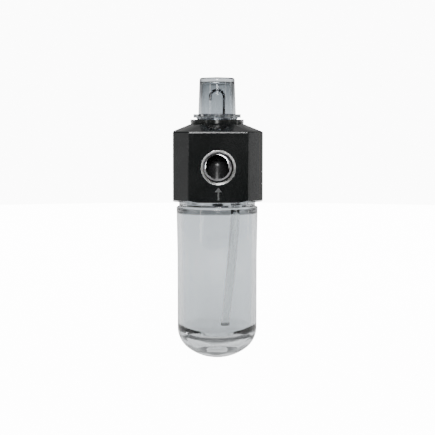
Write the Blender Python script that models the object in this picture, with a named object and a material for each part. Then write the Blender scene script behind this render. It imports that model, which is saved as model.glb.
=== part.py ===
"""Miniature air-line lubricator: head block, sight dome with drip tube, clear bowl and their inner parts.

Metres, +Z up. The origin is where the line through both ports (Y) crosses the axis of the bowl (Z).
The inlet port faces -Y and the outlet port faces +Y.
"""
import math

import bmesh
import bpy
from mathutils import Matrix, Vector

MM = 0.001

# ---- clearances ----
GAP = 0.3 * MM                   # between pieces that touch or seat on each other
SEAL_GAP = 0.25 * MM             # round an O-ring
THREAD_GAP = 0.4 * MM            # between the bowl's thread land and the socket
LEDGE = 0.1 * MM                 # least step left beside a boss, a hole or a cone
PAST = 0.5 * MM                  # how far a cutter runs past the face it opens

# ---- bowl ----
BOWL_RADIUS = 18.05 * MM         # outside of the straight wall
BOWL_DRAFT = 0.4 * MM            # how much wider the wall is under the neck
BOWL_WALL = 2.3 * MM
BOWL_LENGTH = 71.7 * MM          # underside of the head block to the bowl's lowest point
NECK_HEIGHT = 2.2 * MM           # plain neck seen under the head block
NECK_STEP = 0.75 * MM            # wall to neck
THREAD_STEP = 0.7 * MM           # neck to thread land
THREAD_CHAMFER = 0.5 * MM
SHOULDER_FILLET = 0.8 * MM
NECK_WALL = 2.2 * MM
MOUTH_CHAMFER = 0.4 * MM
TAPER_LENGTH = 22.0 * MM         # stretch over which the draft runs out
KNUCKLE_RADIUS = 12.0 * MM
CROWN_RADIUS = 22.0 * MM
FLOOR_THICKNESS = 8.2 * MM
FLOOR_RADIUS = 6.6 * MM
FLOOR_CONE_HEIGHT = 4.6 * MM
FLOOR_DISH = 0.2 * MM            # the flat of the floor falls this far towards the axis
WELL_STEP = 1.3 * MM             # straight wall to the top of the floor's cone
WELL_EDGE = 0.4 * MM
WELL_EDGE_HEIGHT = 1.2 * MM
WELL_HEIGHT = 3.2 * MM           # top of the floor's cone to the straight wall
NECK_FLARE = 3.0 * MM            # shoulder to where the inner wall starts to close
BOWL_SEAL_WIRE = 0.75 * MM       # radius of the O-ring's section

# ---- head block ----
BLOCK_WALL = 3.0 * MM            # round the socket, at the middle of a flat
CORNER_CUT = 6.8 * MM
BLOCK_BELOW = 15.6 * MM          # port line to the underside
BLOCK_ABOVE = 15.7 * MM          # port line to the top edge of the flats
SHOULDER_OVERLAP = 2.0 * MM      # how far the collar's foot runs down inside the shoulder
FLAT_SLOPE = 0.41                # rise of the shoulder over each flat, towards the collar
CORNER_SLOPE = 0.33              # rise of the shoulder over each cut corner
EDGE_ROUND = 0.5 * MM
UNDERCUT_OVERHANG = 1.5 * MM     # the turned relief under the corners starts this far outside the flats
UNDERCUT_SLOPE = 0.45
UNDERCUT_REACH = 1.4             # outer end of the relief, in half widths of the block
COLLAR_WALL = 3.1 * MM
COLLAR_TOP = 21.0 * MM
COLLAR_BEAD = 1.5 * MM           # height of the bead at the top of the collar
COLLAR_GROOVE = 0.9 * MM         # depth of the groove under the bead
MARK_HEIGHT = 0.3 * MM           # how far the flow arrows stand proud
MARK_LENGTH = 5.6 * MM
MARK_STROKE = 0.8 * MM
MARK_HEAD = 3.4 * MM
MARK_HEAD_SHARE = 0.6            # length of an arrow's head, in head widths
MARK_DROP = 11.5 * MM            # port line to the middle of an arrow

# ---- air line ----
PORT_RADIUS = 6.75 * MM          # quarter-inch pipe thread, at the mouth
PORT_TAPER = 0.3 * MM            # radius lost along the thread
PORT_DEPTH = 11.0 * MM
PORT_COUNTERSINK = 1.0 * MM
PORT_FLOOR = 1.85 * MM           # between the port and the socket under it
PASSAGE_RADIUS = 5.5 * MM
CHAMBER_RADIUS = 6.4 * MM
CHAMBER_TOP = 6.8 * MM
CHAMBER_CHAMFER = 0.8 * MM
AIR_GAP = 1.2 * MM               # round the post of the flow core

# ---- sight dome ----
SPIGOT_RADIUS = 8.7 * MM
SPIGOT_WALL = 2.1 * MM
SPIGOT_BOTTOM = 14.2 * MM
DOME_STEP = 0.2 * MM              # spigot to the foot of the dome's wall
DOME_DRAFT = 0.55 * MM
DOME_WALL = 1.4 * MM
DOME_TOP = 40.1 * MM
DOME_TOP_THICKNESS = 2.3 * MM
DOME_CORNER = 1.0 * MM
DOME_CROWN = 0.4 * MM
DOME_INNER_CORNER = 1.2 * MM
DOME_CEILING_RISE = 0.2 * MM
DOME_CONE = 0.8 * MM             # how far the cone under the flange widens
FLANGE_STEP = 2.0 * MM           # spigot to the tips of the serrations
FLANGE_BOTTOM = 21.8 * MM
FLANGE_HEIGHT = 1.6 * MM
SERRATIONS = 18
SERRATION_DEPTH = 0.7 * MM
DOME_SEAL_WIRE = 0.5 * MM
DOME_SEAL_HEIGHT = 16.3 * MM
CLIP_WIRE = 0.45 * MM
CLIP_HEIGHT = 19.0 * MM
CLIP_OPENING = math.radians(34)

# ---- drip feed ----
RECESS_FLOOR = 12.5 * MM
FEED_BORE_FLOOR = 9.5 * MM       # bottom of the bore that takes the feed block's stem
FEED_STEM_RADIUS = 5.2 * MM
FEED_TOP = 22.4 * MM
FEED_CHAMFER = 0.4 * MM
JET_RADIUS = 0.35 * MM           # cross hole to the drip tube
FEED_INLET_RADIUS = 0.5 * MM     # cross hole from the oil riser
FEED_SEAL_WIRE = 0.4 * MM
FEED_SEAL_HEIGHT = 11.2 * MM
DRIP_OFFSET = 3.1 * MM           # bowl axis to the drip tube's leg, and to its tip
DRIP_WIRE = 0.55 * MM            # outside radius of the drip tube
DRIP_BORE = 0.3 * MM
DRIP_TOP = 34.9 * MM
DRIP_TIP = 29.6 * MM
DRIP_FOOT = 17.6 * MM
DRAIN_RADIUS = 0.55 * MM
DRAIN_SINK = 1.1 * MM            # depth of the drain's countersink
NEEDLE_RADIUS = 0.9 * MM
NEEDLE_STEM_RADIUS = 0.65 * MM
NEEDLE_HEAD_RADIUS = 1.5 * MM
NEEDLE_HEAD_HEIGHT = 0.8 * MM    # cylinder above its cone
NEEDLE_CHAMFER = 0.3 * MM
TONGUE_ROOT = 0.3 * MM           # how far the tongue runs down inside the head
NEEDLE_FOOT = 7.6 * MM
NEEDLE_SHOULDER = 12.6 * MM
NEEDLE_SEAT = 16.0 * MM
TONGUE_WIDTH = 2.4 * MM
TONGUE_THICKNESS = 0.8 * MM
TONGUE_HEIGHT = 2.0 * MM
NEEDLE_TRAVEL = 0.75 * MM        # one turn of its thread
NEEDLE_SEAL_WIRE = 0.35 * MM

# ---- flow core and oil riser ----
PLATE_THICKNESS = 2.6 * MM
PLUG_HEIGHT = 2.3 * MM
CORE_BORE_RADIUS = 3.2 * MM
CORE_SEAL_WIRE = 0.4 * MM
RISER_RADIUS = 0.6 * MM
RISER_SEAL_RADIUS = 1.3 * MM
RISER_SEAL_WIRE = 0.3 * MM
SCREW_RADIUS = 1.0 * MM
SCREW_HEAD_RADIUS = 2.1 * MM
SCREW_HEAD_HEIGHT = 1.5 * MM
SCREW_CHAMFER = 0.6 * MM
SCREW_SLOT = 0.6 * MM
SCREW_REACH = 4.2 * MM           # into the head block
SCREW_STEP = 2.8 * MM            # chamber wall to the screw's axis

# ---- siphon ----
FITTING_SHANK_RADIUS = 2.0 * MM
FITTING_FLANGE_RADIUS = 3.2 * MM
FITTING_FLANGE_HEIGHT = 1.2 * MM
BARB_RADIUS = 1.15 * MM
BARB_LENGTH = 4.4 * MM
BARB_RIDGE = 0.1 * MM
BARB_RIDGE_HEIGHT = 1.2 * MM     # barb's end to its ridge
BARB_CHAMFER = 0.3 * MM
BOSS_WALL = 1.2 * MM
SOCKET_ROOF = 0.4 * MM           # of the plate's thickness, used by the fitting's socket
SHANK_BELOW_SEAT = 0.5 * MM
SIPHON_BALL_RADIUS = 1.1 * MM
BALL_SIDE_GAP = 0.3 * MM
SIPHON_SEAT_DEPTH = 2.6 * MM     # top of the fitting to the top of its conical seat
FITTING_BORE = 0.5 * MM
SIPHON_TUBE_RADIUS = 2.1 * MM
SIPHON_TUBE_WALL = 0.6 * MM
SIPHON_CLEARANCE = 6.4 * MM      # tube's end to the bowl's floor
SIPHON_LEAN = 4.7 * MM           # how far the tube leans back towards the bowl's axis
SIPHON_BEND = 0.25               # share of the lean that is held back near the top
SIPHON_STRAIGHT = 0.6 * MM       # straight tube below the barb's end
SIPHON_STEPS = 12

# ---- charge valve ----
CHARGE_STEP = 3.5 * MM           # chamber wall to the valve's axis
CHARGE_BOSS_RADIUS = 2.5 * MM
CHARGE_HOLE_RADIUS = 0.8 * MM
CHARGE_BALL_RADIUS = 1.2 * MM
CHARGE_SPRING_LENGTH = 3.6 * MM
CHARGE_SPRING_RADIUS = 1.05 * MM
CHARGE_SPRING_WIRE = 0.18 * MM
CHARGE_SPRING_TURNS = 4.5
CHARGE_SEAT_DROP = 0.8 * MM      # plate's top to the top of the conical seat
CAP_HEIGHT = 1.0 * MM
CAP_FLANGE = 0.8 * MM
CAP_BORE = 0.6 * MM

# ---- facets ----
LARGE_FACETS = 40
MEDIUM_FACETS = 28
SMALL_FACETS = 16
HOLE_FACETS = 12
FINE_HOLE_FACETS = 10
BOSS_FACETS = 20
COIL_STEPS = 12

# ---- sizes that follow ----
NECK_RADIUS = BOWL_RADIUS - NECK_STEP
THREAD_RADIUS = NECK_RADIUS - THREAD_STEP
NECK_BORE = THREAD_RADIUS - NECK_WALL
SOCKET_RADIUS = THREAD_RADIUS + THREAD_GAP
HALF_FLATS = SOCKET_RADIUS + BLOCK_WALL
CEILING = -(PORT_RADIUS + PORT_FLOOR)            # ceiling of the socket
RIM = CEILING - 2 * GAP - 2 * BOWL_SEAL_WIRE     # top of the bowl
PORT_END = HALF_FLATS - PORT_DEPTH
RECESS_RADIUS = SPIGOT_RADIUS + GAP
COLLAR_RADIUS = RECESS_RADIUS + COLLAR_WALL
DOME_BORE = SPIGOT_RADIUS - SPIGOT_WALL
DOME_BASE_RADIUS = SPIGOT_RADIUS - DOME_STEP
DOME_TOP_RADIUS = DOME_BASE_RADIUS - DOME_DRAFT
FEED_RADIUS = DOME_BORE - GAP
FEED_BORE_RADIUS = FEED_STEM_RADIUS + GAP
POST_RADIUS = CHAMBER_RADIUS - AIR_GAP
PLUG_RADIUS = CHAMBER_RADIUS - GAP
CHARGE_OFFSET = CHAMBER_RADIUS + CHARGE_STEP
PLATE_RADIUS = CHARGE_OFFSET + CHARGE_BOSS_RADIUS + LEDGE
PLATE_TOP = CEILING - GAP
PLATE_BOTTOM = PLATE_TOP - PLATE_THICKNESS
RISER_OFFSET = RECESS_RADIUS - RISER_RADIUS - LEDGE
SCREW_OFFSET = (CHAMBER_RADIUS + SCREW_STEP) * math.sqrt(0.5)
FITTING_SOCKET_TOP = PLATE_BOTTOM - SOCKET_ROOF
FITTING_TOP = FITTING_SOCKET_TOP - GAP
FITTING_SHOULDER = FITTING_TOP - SIPHON_SEAT_DEPTH - SHANK_BELOW_SEAT
BOSS_BOTTOM = FITTING_SHOULDER + GAP
CHARGE_SEAT = PLATE_TOP - CHARGE_SEAT_DROP


def material(name, colour, roughness, metallic=0.0, alpha=1.0):
    made = bpy.data.materials.new(name)
    made.use_nodes = True
    shader = made.node_tree.nodes["Principled BSDF"]
    shader.inputs["Base Color"].default_value = (*colour, 1.0)
    shader.inputs["Roughness"].default_value = roughness
    shader.inputs["Metallic"].default_value = metallic
    shader.inputs["Alpha"].default_value = alpha
    made.diffuse_color = (*colour, alpha)
    return made


def finished(name, bm, finish=None, sharp=35):
    """Close the bmesh into an object, with its faces pointing out and its round faces shaded smooth."""
    bmesh.ops.remove_doubles(bm, verts=bm.verts, dist=1e-6)
    bmesh.ops.recalc_face_normals(bm, faces=bm.faces)
    mesh = bpy.data.meshes.new(name)
    bm.to_mesh(mesh)
    bm.free()
    mesh.shade_smooth()
    mesh.set_sharp_from_angle(angle=math.radians(sharp))
    made = bpy.data.objects.new(name, mesh)
    bpy.context.collection.objects.link(made)
    if finish:
        mesh.materials.append(finish)
    return made


def spin_profile(bm, profile, facets, place=Matrix(), sweep=2 * math.pi):
    """Turn a profile of (radius, height) points about Z. It closes on itself unless it ends on the axis."""
    verts = [bm.verts.new((radius, 0, height)) for radius, height in profile]
    edges = [bm.edges.new(pair) for pair in zip(verts, verts[1:])]
    on_axis = profile[0][0] == 0 and profile[-1][0] == 0
    if not on_axis:
        edges.append(bm.edges.new((verts[-1], verts[0])))
    full = sweep > 2 * math.pi - 1e-6
    first_faces = [] if full else [bm.faces.new(verts)]
    before = set(bm.verts) - set(verts)
    result = bmesh.ops.spin(bm, geom=verts + edges, cent=(0, 0, 0), axis=(0, 0, 1), angle=sweep,
                            steps=facets, use_merge=full, use_duplicate=False)
    if first_faces:
        last = [item for item in result["geom_last"] if isinstance(item, bmesh.types.BMEdge)]
        bmesh.ops.contextual_create(bm, geom=last)
    moved = [vert for vert in bm.verts if vert not in before]
    bmesh.ops.transform(bm, matrix=place, verts=moved)


def turned(name, profile, finish=None, facets=MEDIUM_FACETS, place=Matrix()):
    bm = bmesh.new()
    spin_profile(bm, profile, facets, place)
    return finished(name, bm, finish)


def rod(radius, low, high):
    """Profile of a plain cylinder."""
    return [(0, low), (radius, low), (radius, high), (0, high)]


def arc(centre, radius, start, end, steps):
    """Points of an arc in the profile's plane, with its angles in degrees from the +radius direction."""
    angles = [math.radians(start + (end - start) * step / steps) for step in range(steps + 1)]
    return [(centre[0] + radius * math.cos(a), centre[1] + radius * math.sin(a)) for a in angles]


def seal(name, radius, wire, height, finish, facets, place=Matrix()):
    """An O-ring: radius of the ring's middle line, radius of its section, height of its middle."""
    return turned(name, arc((radius, height), wire, 0, 300, 5), finish, facets, place)


def shifted(x=0.0, y=0.0, z=0.0):
    return Matrix.Translation((x, y, z))


def box_mesh(bm, size, centre):
    made = bmesh.ops.create_cube(bm, size=1.0)
    bmesh.ops.scale(bm, vec=size, verts=made["verts"])
    bmesh.ops.translate(bm, vec=centre, verts=made["verts"])


def combine(target, tool, operation):
    """Join a shape to the target or cut it away, and keep the tool as a hidden guide."""
    modifier = target.modifiers.new(tool.name, "BOOLEAN")
    modifier.operation = operation
    modifier.solver = "EXACT"
    modifier.object = tool
    tool.hide_render = True
    tool.display_type = "WIRE"


def tube(name, points, radius, wall, finish, sides):
    """A hollow tube along a smooth path: a bevelled curve whose skin is given a wall inwards."""
    curve = bpy.data.curves.new(name, "CURVE")
    curve.dimensions = "3D"
    curve.bevel_depth = radius
    curve.bevel_resolution = sides
    spline = curve.splines.new("POLY")
    spline.points.add(len(points) - 1)
    for point, place in zip(spline.points, points):
        point.co = (*place, 1.0)
    curve.materials.append(finish)
    made = bpy.data.objects.new(name, curve)
    bpy.context.collection.objects.link(made)
    skin = made.modifiers.new("wall", "SOLIDIFY")
    skin.thickness = wall
    skin.offset = -1.0
    return made


def block_mesh(bm):
    """The square block with cut corners, and its shoulder of eight sloping planes."""
    top = COLLAR_TOP - COLLAR_BEAD / 2
    height = top + BLOCK_BELOW
    box_mesh(bm, (2 * HALF_FLATS, 2 * HALF_FLATS, height), (0, 0, top - height / 2))
    corner_reach = (2 * HALF_FLATS - CORNER_CUT) * math.sqrt(0.5)
    for quarter in range(4):
        across = Matrix.Rotation(math.radians(90 * quarter), 3, "Z")
        diagonal = Matrix.Rotation(math.radians(90 * quarter + 45), 3, "Z")
        slice_off(bm, diagonal @ Vector((corner_reach, 0, 0)), diagonal @ Vector((1, 0, 0)))
        top_of_flat = across @ Vector((HALF_FLATS, 0, BLOCK_ABOVE))
        top_of_corner = diagonal @ Vector((corner_reach, 0, BLOCK_ABOVE))
        slice_off(bm, top_of_flat, across @ Vector((FLAT_SLOPE, 0, 1)))
        slice_off(bm, top_of_corner, diagonal @ Vector((CORNER_SLOPE, 0, 1)))
    outline = [edge for edge in bm.edges if edge.calc_face_angle() > math.radians(35)]
    bmesh.ops.bevel(bm, geom=outline, offset=EDGE_ROUND, segments=2, profile=0.5, affect="EDGES",
                    clamp_overlap=True)


def slice_off(bm, point, normal):
    """Cut the solid with a plane, drop what lies beyond it and cap the cut."""
    everything = bm.verts[:] + bm.edges[:] + bm.faces[:]
    result = bmesh.ops.bisect_plane(bm, geom=everything, dist=1e-7, plane_co=point, plane_no=normal,
                                    clear_outer=True)
    cut = [item for item in result["geom_cut"] if isinstance(item, bmesh.types.BMEdge)]
    if cut:
        bmesh.ops.contextual_create(bm, geom=cut)


def arrow_mesh(bm, face_sign, points_up):
    """A raised flow arrow on the -Y or +Y flat, under the port."""
    outside = face_sign * (HALF_FLATS + MARK_HEIGHT)
    inside = face_sign * (HALF_FLATS - PAST)
    middle = (outside + inside) / 2
    depth = abs(outside - inside)
    turn = 1 if points_up else -1
    half = MARK_LENGTH / 2
    neck = half - MARK_HEAD * MARK_HEAD_SHARE
    outline = [(-MARK_STROKE / 2, -half), (MARK_STROKE / 2, -half), (MARK_STROKE / 2, neck),
               (MARK_HEAD / 2, neck), (0, half), (-MARK_HEAD / 2, neck), (-MARK_STROKE / 2, neck)]
    verts = [bm.verts.new((x, middle - depth / 2, turn * z - MARK_DROP)) for x, z in outline]
    face = bm.faces.new(verts)
    grown = bmesh.ops.extrude_face_region(bm, geom=[face])
    moved = [item for item in grown["geom"] if isinstance(item, bmesh.types.BMVert)]
    bmesh.ops.translate(bm, vec=(0, depth, 0), verts=moved)


def make_body(finish):
    bm = bmesh.new()
    block_mesh(bm)
    body = finished("body", bm, finish)

    bead = COLLAR_TOP - COLLAR_BEAD / 2
    waist = COLLAR_RADIUS - COLLAR_GROOVE
    foot = BLOCK_ABOVE - SHOULDER_OVERLAP
    collar = [(0, foot), (waist, foot), (waist, COLLAR_TOP - COLLAR_BEAD)]
    collar += arc((COLLAR_RADIUS - COLLAR_BEAD / 2, bead), COLLAR_BEAD / 2, -60, 90, 5)
    collar += [(0, COLLAR_TOP)]
    combine(body, turned("collar_guide", collar, facets=LARGE_FACETS), "UNION")

    bm = bmesh.new()
    arrow_mesh(bm, -1, True)
    arrow_mesh(bm, 1, False)
    combine(body, finished("arrow_guide", bm), "UNION")

    relief_start = HALF_FLATS + UNDERCUT_OVERHANG
    relief_end = HALF_FLATS * UNDERCUT_REACH
    rise = (relief_end - relief_start) * UNDERCUT_SLOPE
    drop = PAST * UNDERCUT_SLOPE
    relief = [(relief_start - PAST, -BLOCK_BELOW - drop), (relief_end, rise - BLOCK_BELOW),
              (relief_end, -BLOCK_BELOW - 4 * PAST), (relief_start - PAST, -BLOCK_BELOW - 4 * PAST)]
    combine(body, turned("corner_relief", relief, facets=LARGE_FACETS), "DIFFERENCE")

    socket = [(0, -BLOCK_BELOW - PAST), (SOCKET_RADIUS + 2 * PAST, -BLOCK_BELOW - PAST),
              (SOCKET_RADIUS, PAST - BLOCK_BELOW), (SOCKET_RADIUS, CEILING), (CHAMBER_RADIUS, CEILING),
              (CHAMBER_RADIUS, CHAMBER_TOP - CHAMBER_CHAMFER),
              (CHAMBER_RADIUS - CHAMBER_CHAMFER, CHAMBER_TOP),
              (0, CHAMBER_TOP)]
    combine(body, turned("socket_bore", socket, facets=LARGE_FACETS), "DIFFERENCE")

    clip_low = CLIP_HEIGHT - CLIP_WIRE - SEAL_GAP / 2
    clip_high = CLIP_HEIGHT + CLIP_WIRE + SEAL_GAP / 2
    needle_bore = NEEDLE_RADIUS + GAP
    recess = [(0, CHAMBER_TOP - PAST), (needle_bore, CHAMBER_TOP - PAST), (needle_bore, FEED_BORE_FLOOR),
              (FEED_BORE_RADIUS, FEED_BORE_FLOOR), (FEED_BORE_RADIUS, RECESS_FLOOR),
              (RECESS_RADIUS, RECESS_FLOOR), (RECESS_RADIUS, clip_low),
              (RECESS_RADIUS + CLIP_WIRE + SEAL_GAP, clip_low),
              (RECESS_RADIUS + CLIP_WIRE + SEAL_GAP, clip_high), (RECESS_RADIUS, clip_high),
              (RECESS_RADIUS, COLLAR_TOP - PAST), (RECESS_RADIUS + 2 * PAST, COLLAR_TOP + PAST),
              (0, COLLAR_TOP + PAST)]
    combine(body, turned("recess_bore", recess, facets=LARGE_FACETS), "DIFFERENCE")

    mouth = PORT_RADIUS + PORT_COUNTERSINK
    port = [(mouth + PAST, HALF_FLATS + PAST), (PORT_RADIUS, HALF_FLATS - PORT_COUNTERSINK),
            (PORT_RADIUS - PORT_TAPER, PORT_END), (PASSAGE_RADIUS, PORT_END)]
    outlet = [(0, HALF_FLATS + PAST)] + port
    inlet = [(radius, -along) for radius, along in reversed(port)] + [(0, -HALF_FLATS - PAST)]
    along_line = Matrix.Rotation(math.radians(-90), 4, "X")
    line_bore = turned("line_bore", outlet + inlet, facets=LARGE_FACETS, place=along_line)
    combine(body, line_bore, "DIFFERENCE")

    bm = bmesh.new()
    riser = rod(RISER_RADIUS, CEILING - PAST, RECESS_FLOOR + PAST)
    spin_profile(bm, riser, FINE_HOLE_FACETS, shifted(RISER_OFFSET))
    drain = rod(DRAIN_RADIUS, CHAMBER_TOP - PAST, FEED_BORE_FLOOR + PAST)
    spin_profile(bm, drain, FINE_HOLE_FACETS, shifted(-DRIP_OFFSET))
    charge = rod(CHARGE_HOLE_RADIUS, CEILING - PAST, 2 * PAST - PASSAGE_RADIUS)
    spin_profile(bm, charge, FINE_HOLE_FACETS, shifted(0, -CHARGE_OFFSET))
    for side in (1, -1):
        hole = rod(SCREW_RADIUS + GAP, CEILING - PAST, CEILING + SCREW_REACH + GAP)
        spin_profile(bm, hole, HOLE_FACETS, shifted(side * SCREW_OFFSET, side * SCREW_OFFSET))
    combine(body, finished("drilled_holes", bm), "DIFFERENCE")
    return body


def make_bowl(finish):
    shoulder = -BLOCK_BELOW - GAP - NECK_HEIGHT
    bottom = -BLOCK_BELOW - BOWL_LENGTH
    knuckle_reach = BOWL_RADIUS - KNUCKLE_RADIUS
    centre_gap = math.sqrt((CROWN_RADIUS - KNUCKLE_RADIUS) ** 2 - knuckle_reach ** 2)
    knuckle_height = bottom + CROWN_RADIUS - centre_gap
    meeting = -math.degrees(math.atan2(centre_gap, knuckle_reach))
    inside = BOWL_RADIUS - BOWL_WALL
    floor = bottom + FLOOR_THICKNESS
    cone_top = floor + FLOOR_CONE_HEIGHT

    outer = [(THREAD_RADIUS - THREAD_CHAMFER, RIM), (THREAD_RADIUS, RIM - THREAD_CHAMFER),
             (THREAD_RADIUS, -BLOCK_BELOW - GAP), (NECK_RADIUS, -BLOCK_BELOW - GAP),
             (NECK_RADIUS, shoulder)]
    fillet = (BOWL_RADIUS + BOWL_DRAFT - SHOULDER_FILLET, shoulder - SHOULDER_FILLET)
    outer += arc(fillet, SHOULDER_FILLET, 90, 0, 3)
    outer += [(BOWL_RADIUS, shoulder - TAPER_LENGTH)]
    outer += arc((knuckle_reach, knuckle_height), KNUCKLE_RADIUS, 0, meeting, 6)
    outer += arc((0, knuckle_height + centre_gap), CROWN_RADIUS, meeting, -90, 5)[1:-1]
    outer += [(0, bottom)]
    inner = [(0, floor), (FLOOR_RADIUS, floor + FLOOR_DISH), (inside - WELL_STEP, cone_top),
             (inside - WELL_EDGE, cone_top + WELL_EDGE_HEIGHT), (inside, cone_top + WELL_HEIGHT),
             (inside, shoulder - TAPER_LENGTH), (inside + BOWL_DRAFT / 2, shoulder - NECK_FLARE),
             (NECK_BORE, shoulder + NECK_HEIGHT / 2), (NECK_BORE, RIM - MOUTH_CHAMFER),
             (NECK_BORE + MOUTH_CHAMFER, RIM)]
    # the profile starts and ends on the axis, so it runs floor, mouth, outside, lowest point
    return turned("bowl", inner + outer, finish, LARGE_FACETS)


def make_sight_dome(finish):
    flange_top = FLANGE_BOTTOM + FLANGE_HEIGHT
    ceiling = DOME_TOP - DOME_TOP_THICKNESS
    inner_base = DOME_BASE_RADIUS - DOME_WALL
    inner_top = DOME_TOP_RADIUS - DOME_WALL
    seal_low = DOME_SEAL_HEIGHT - DOME_SEAL_WIRE - SEAL_GAP
    seal_high = DOME_SEAL_HEIGHT + DOME_SEAL_WIRE + SEAL_GAP
    seal_floor = SPIGOT_RADIUS - 2 * DOME_SEAL_WIRE - SEAL_GAP
    clip_low = CLIP_HEIGHT - CLIP_WIRE - SEAL_GAP / 2
    clip_high = CLIP_HEIGHT + CLIP_WIRE + SEAL_GAP / 2
    clip_floor = RECESS_RADIUS - CLIP_WIRE - 2 * SEAL_GAP
    edge = DOME_TOP - DOME_CROWN - DOME_CORNER

    profile = [(0, ceiling + DOME_CEILING_RISE), (inner_top - DOME_INNER_CORNER, ceiling),
               (inner_top, ceiling - DOME_INNER_CORNER), (inner_base, flange_top), (DOME_BORE, FEED_TOP),
               (DOME_BORE, SPIGOT_BOTTOM), (SPIGOT_RADIUS, SPIGOT_BOTTOM), (SPIGOT_RADIUS, seal_low),
               (seal_floor, seal_low), (seal_floor, seal_high), (SPIGOT_RADIUS, seal_high),
               (SPIGOT_RADIUS, clip_low),
               (clip_floor, clip_low), (clip_floor, clip_high), (SPIGOT_RADIUS, clip_high),
               (SPIGOT_RADIUS, COLLAR_TOP - PAST), (SPIGOT_RADIUS + DOME_CONE, FLANGE_BOTTOM + LEDGE),
               (DOME_BASE_RADIUS, flange_top - LEDGE)]
    profile += arc((DOME_TOP_RADIUS - DOME_CORNER, edge), DOME_CORNER, 0, 80, 3)
    profile += [(0, DOME_TOP)]
    dome = turned("sight_dome", profile, finish, LARGE_FACETS)

    bm = bmesh.new()
    tip = SPIGOT_RADIUS + FLANGE_STEP
    steps = SERRATIONS * 4
    outline = []
    for step in range(steps):
        angle = 2 * math.pi * step / steps
        radius = tip if step % 4 in (0, 1) else tip - SERRATION_DEPTH
        outline.append((radius * math.cos(angle), radius * math.sin(angle), FLANGE_BOTTOM))
    face = bm.faces.new([bm.verts.new(place) for place in outline])
    grown = bmesh.ops.extrude_face_region(bm, geom=[face])
    moved = [item for item in grown["geom"] if isinstance(item, bmesh.types.BMVert)]
    bmesh.ops.translate(bm, vec=(0, 0, FLANGE_HEIGHT), verts=moved)
    flange = finished("flange_guide", bm)
    middle = rod((inner_base + DOME_BASE_RADIUS) / 2, FLANGE_BOTTOM - PAST, flange_top + PAST)
    combine(flange, turned("flange_bore", middle, facets=LARGE_FACETS), "DIFFERENCE")
    combine(dome, flange, "UNION")
    return dome


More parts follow.
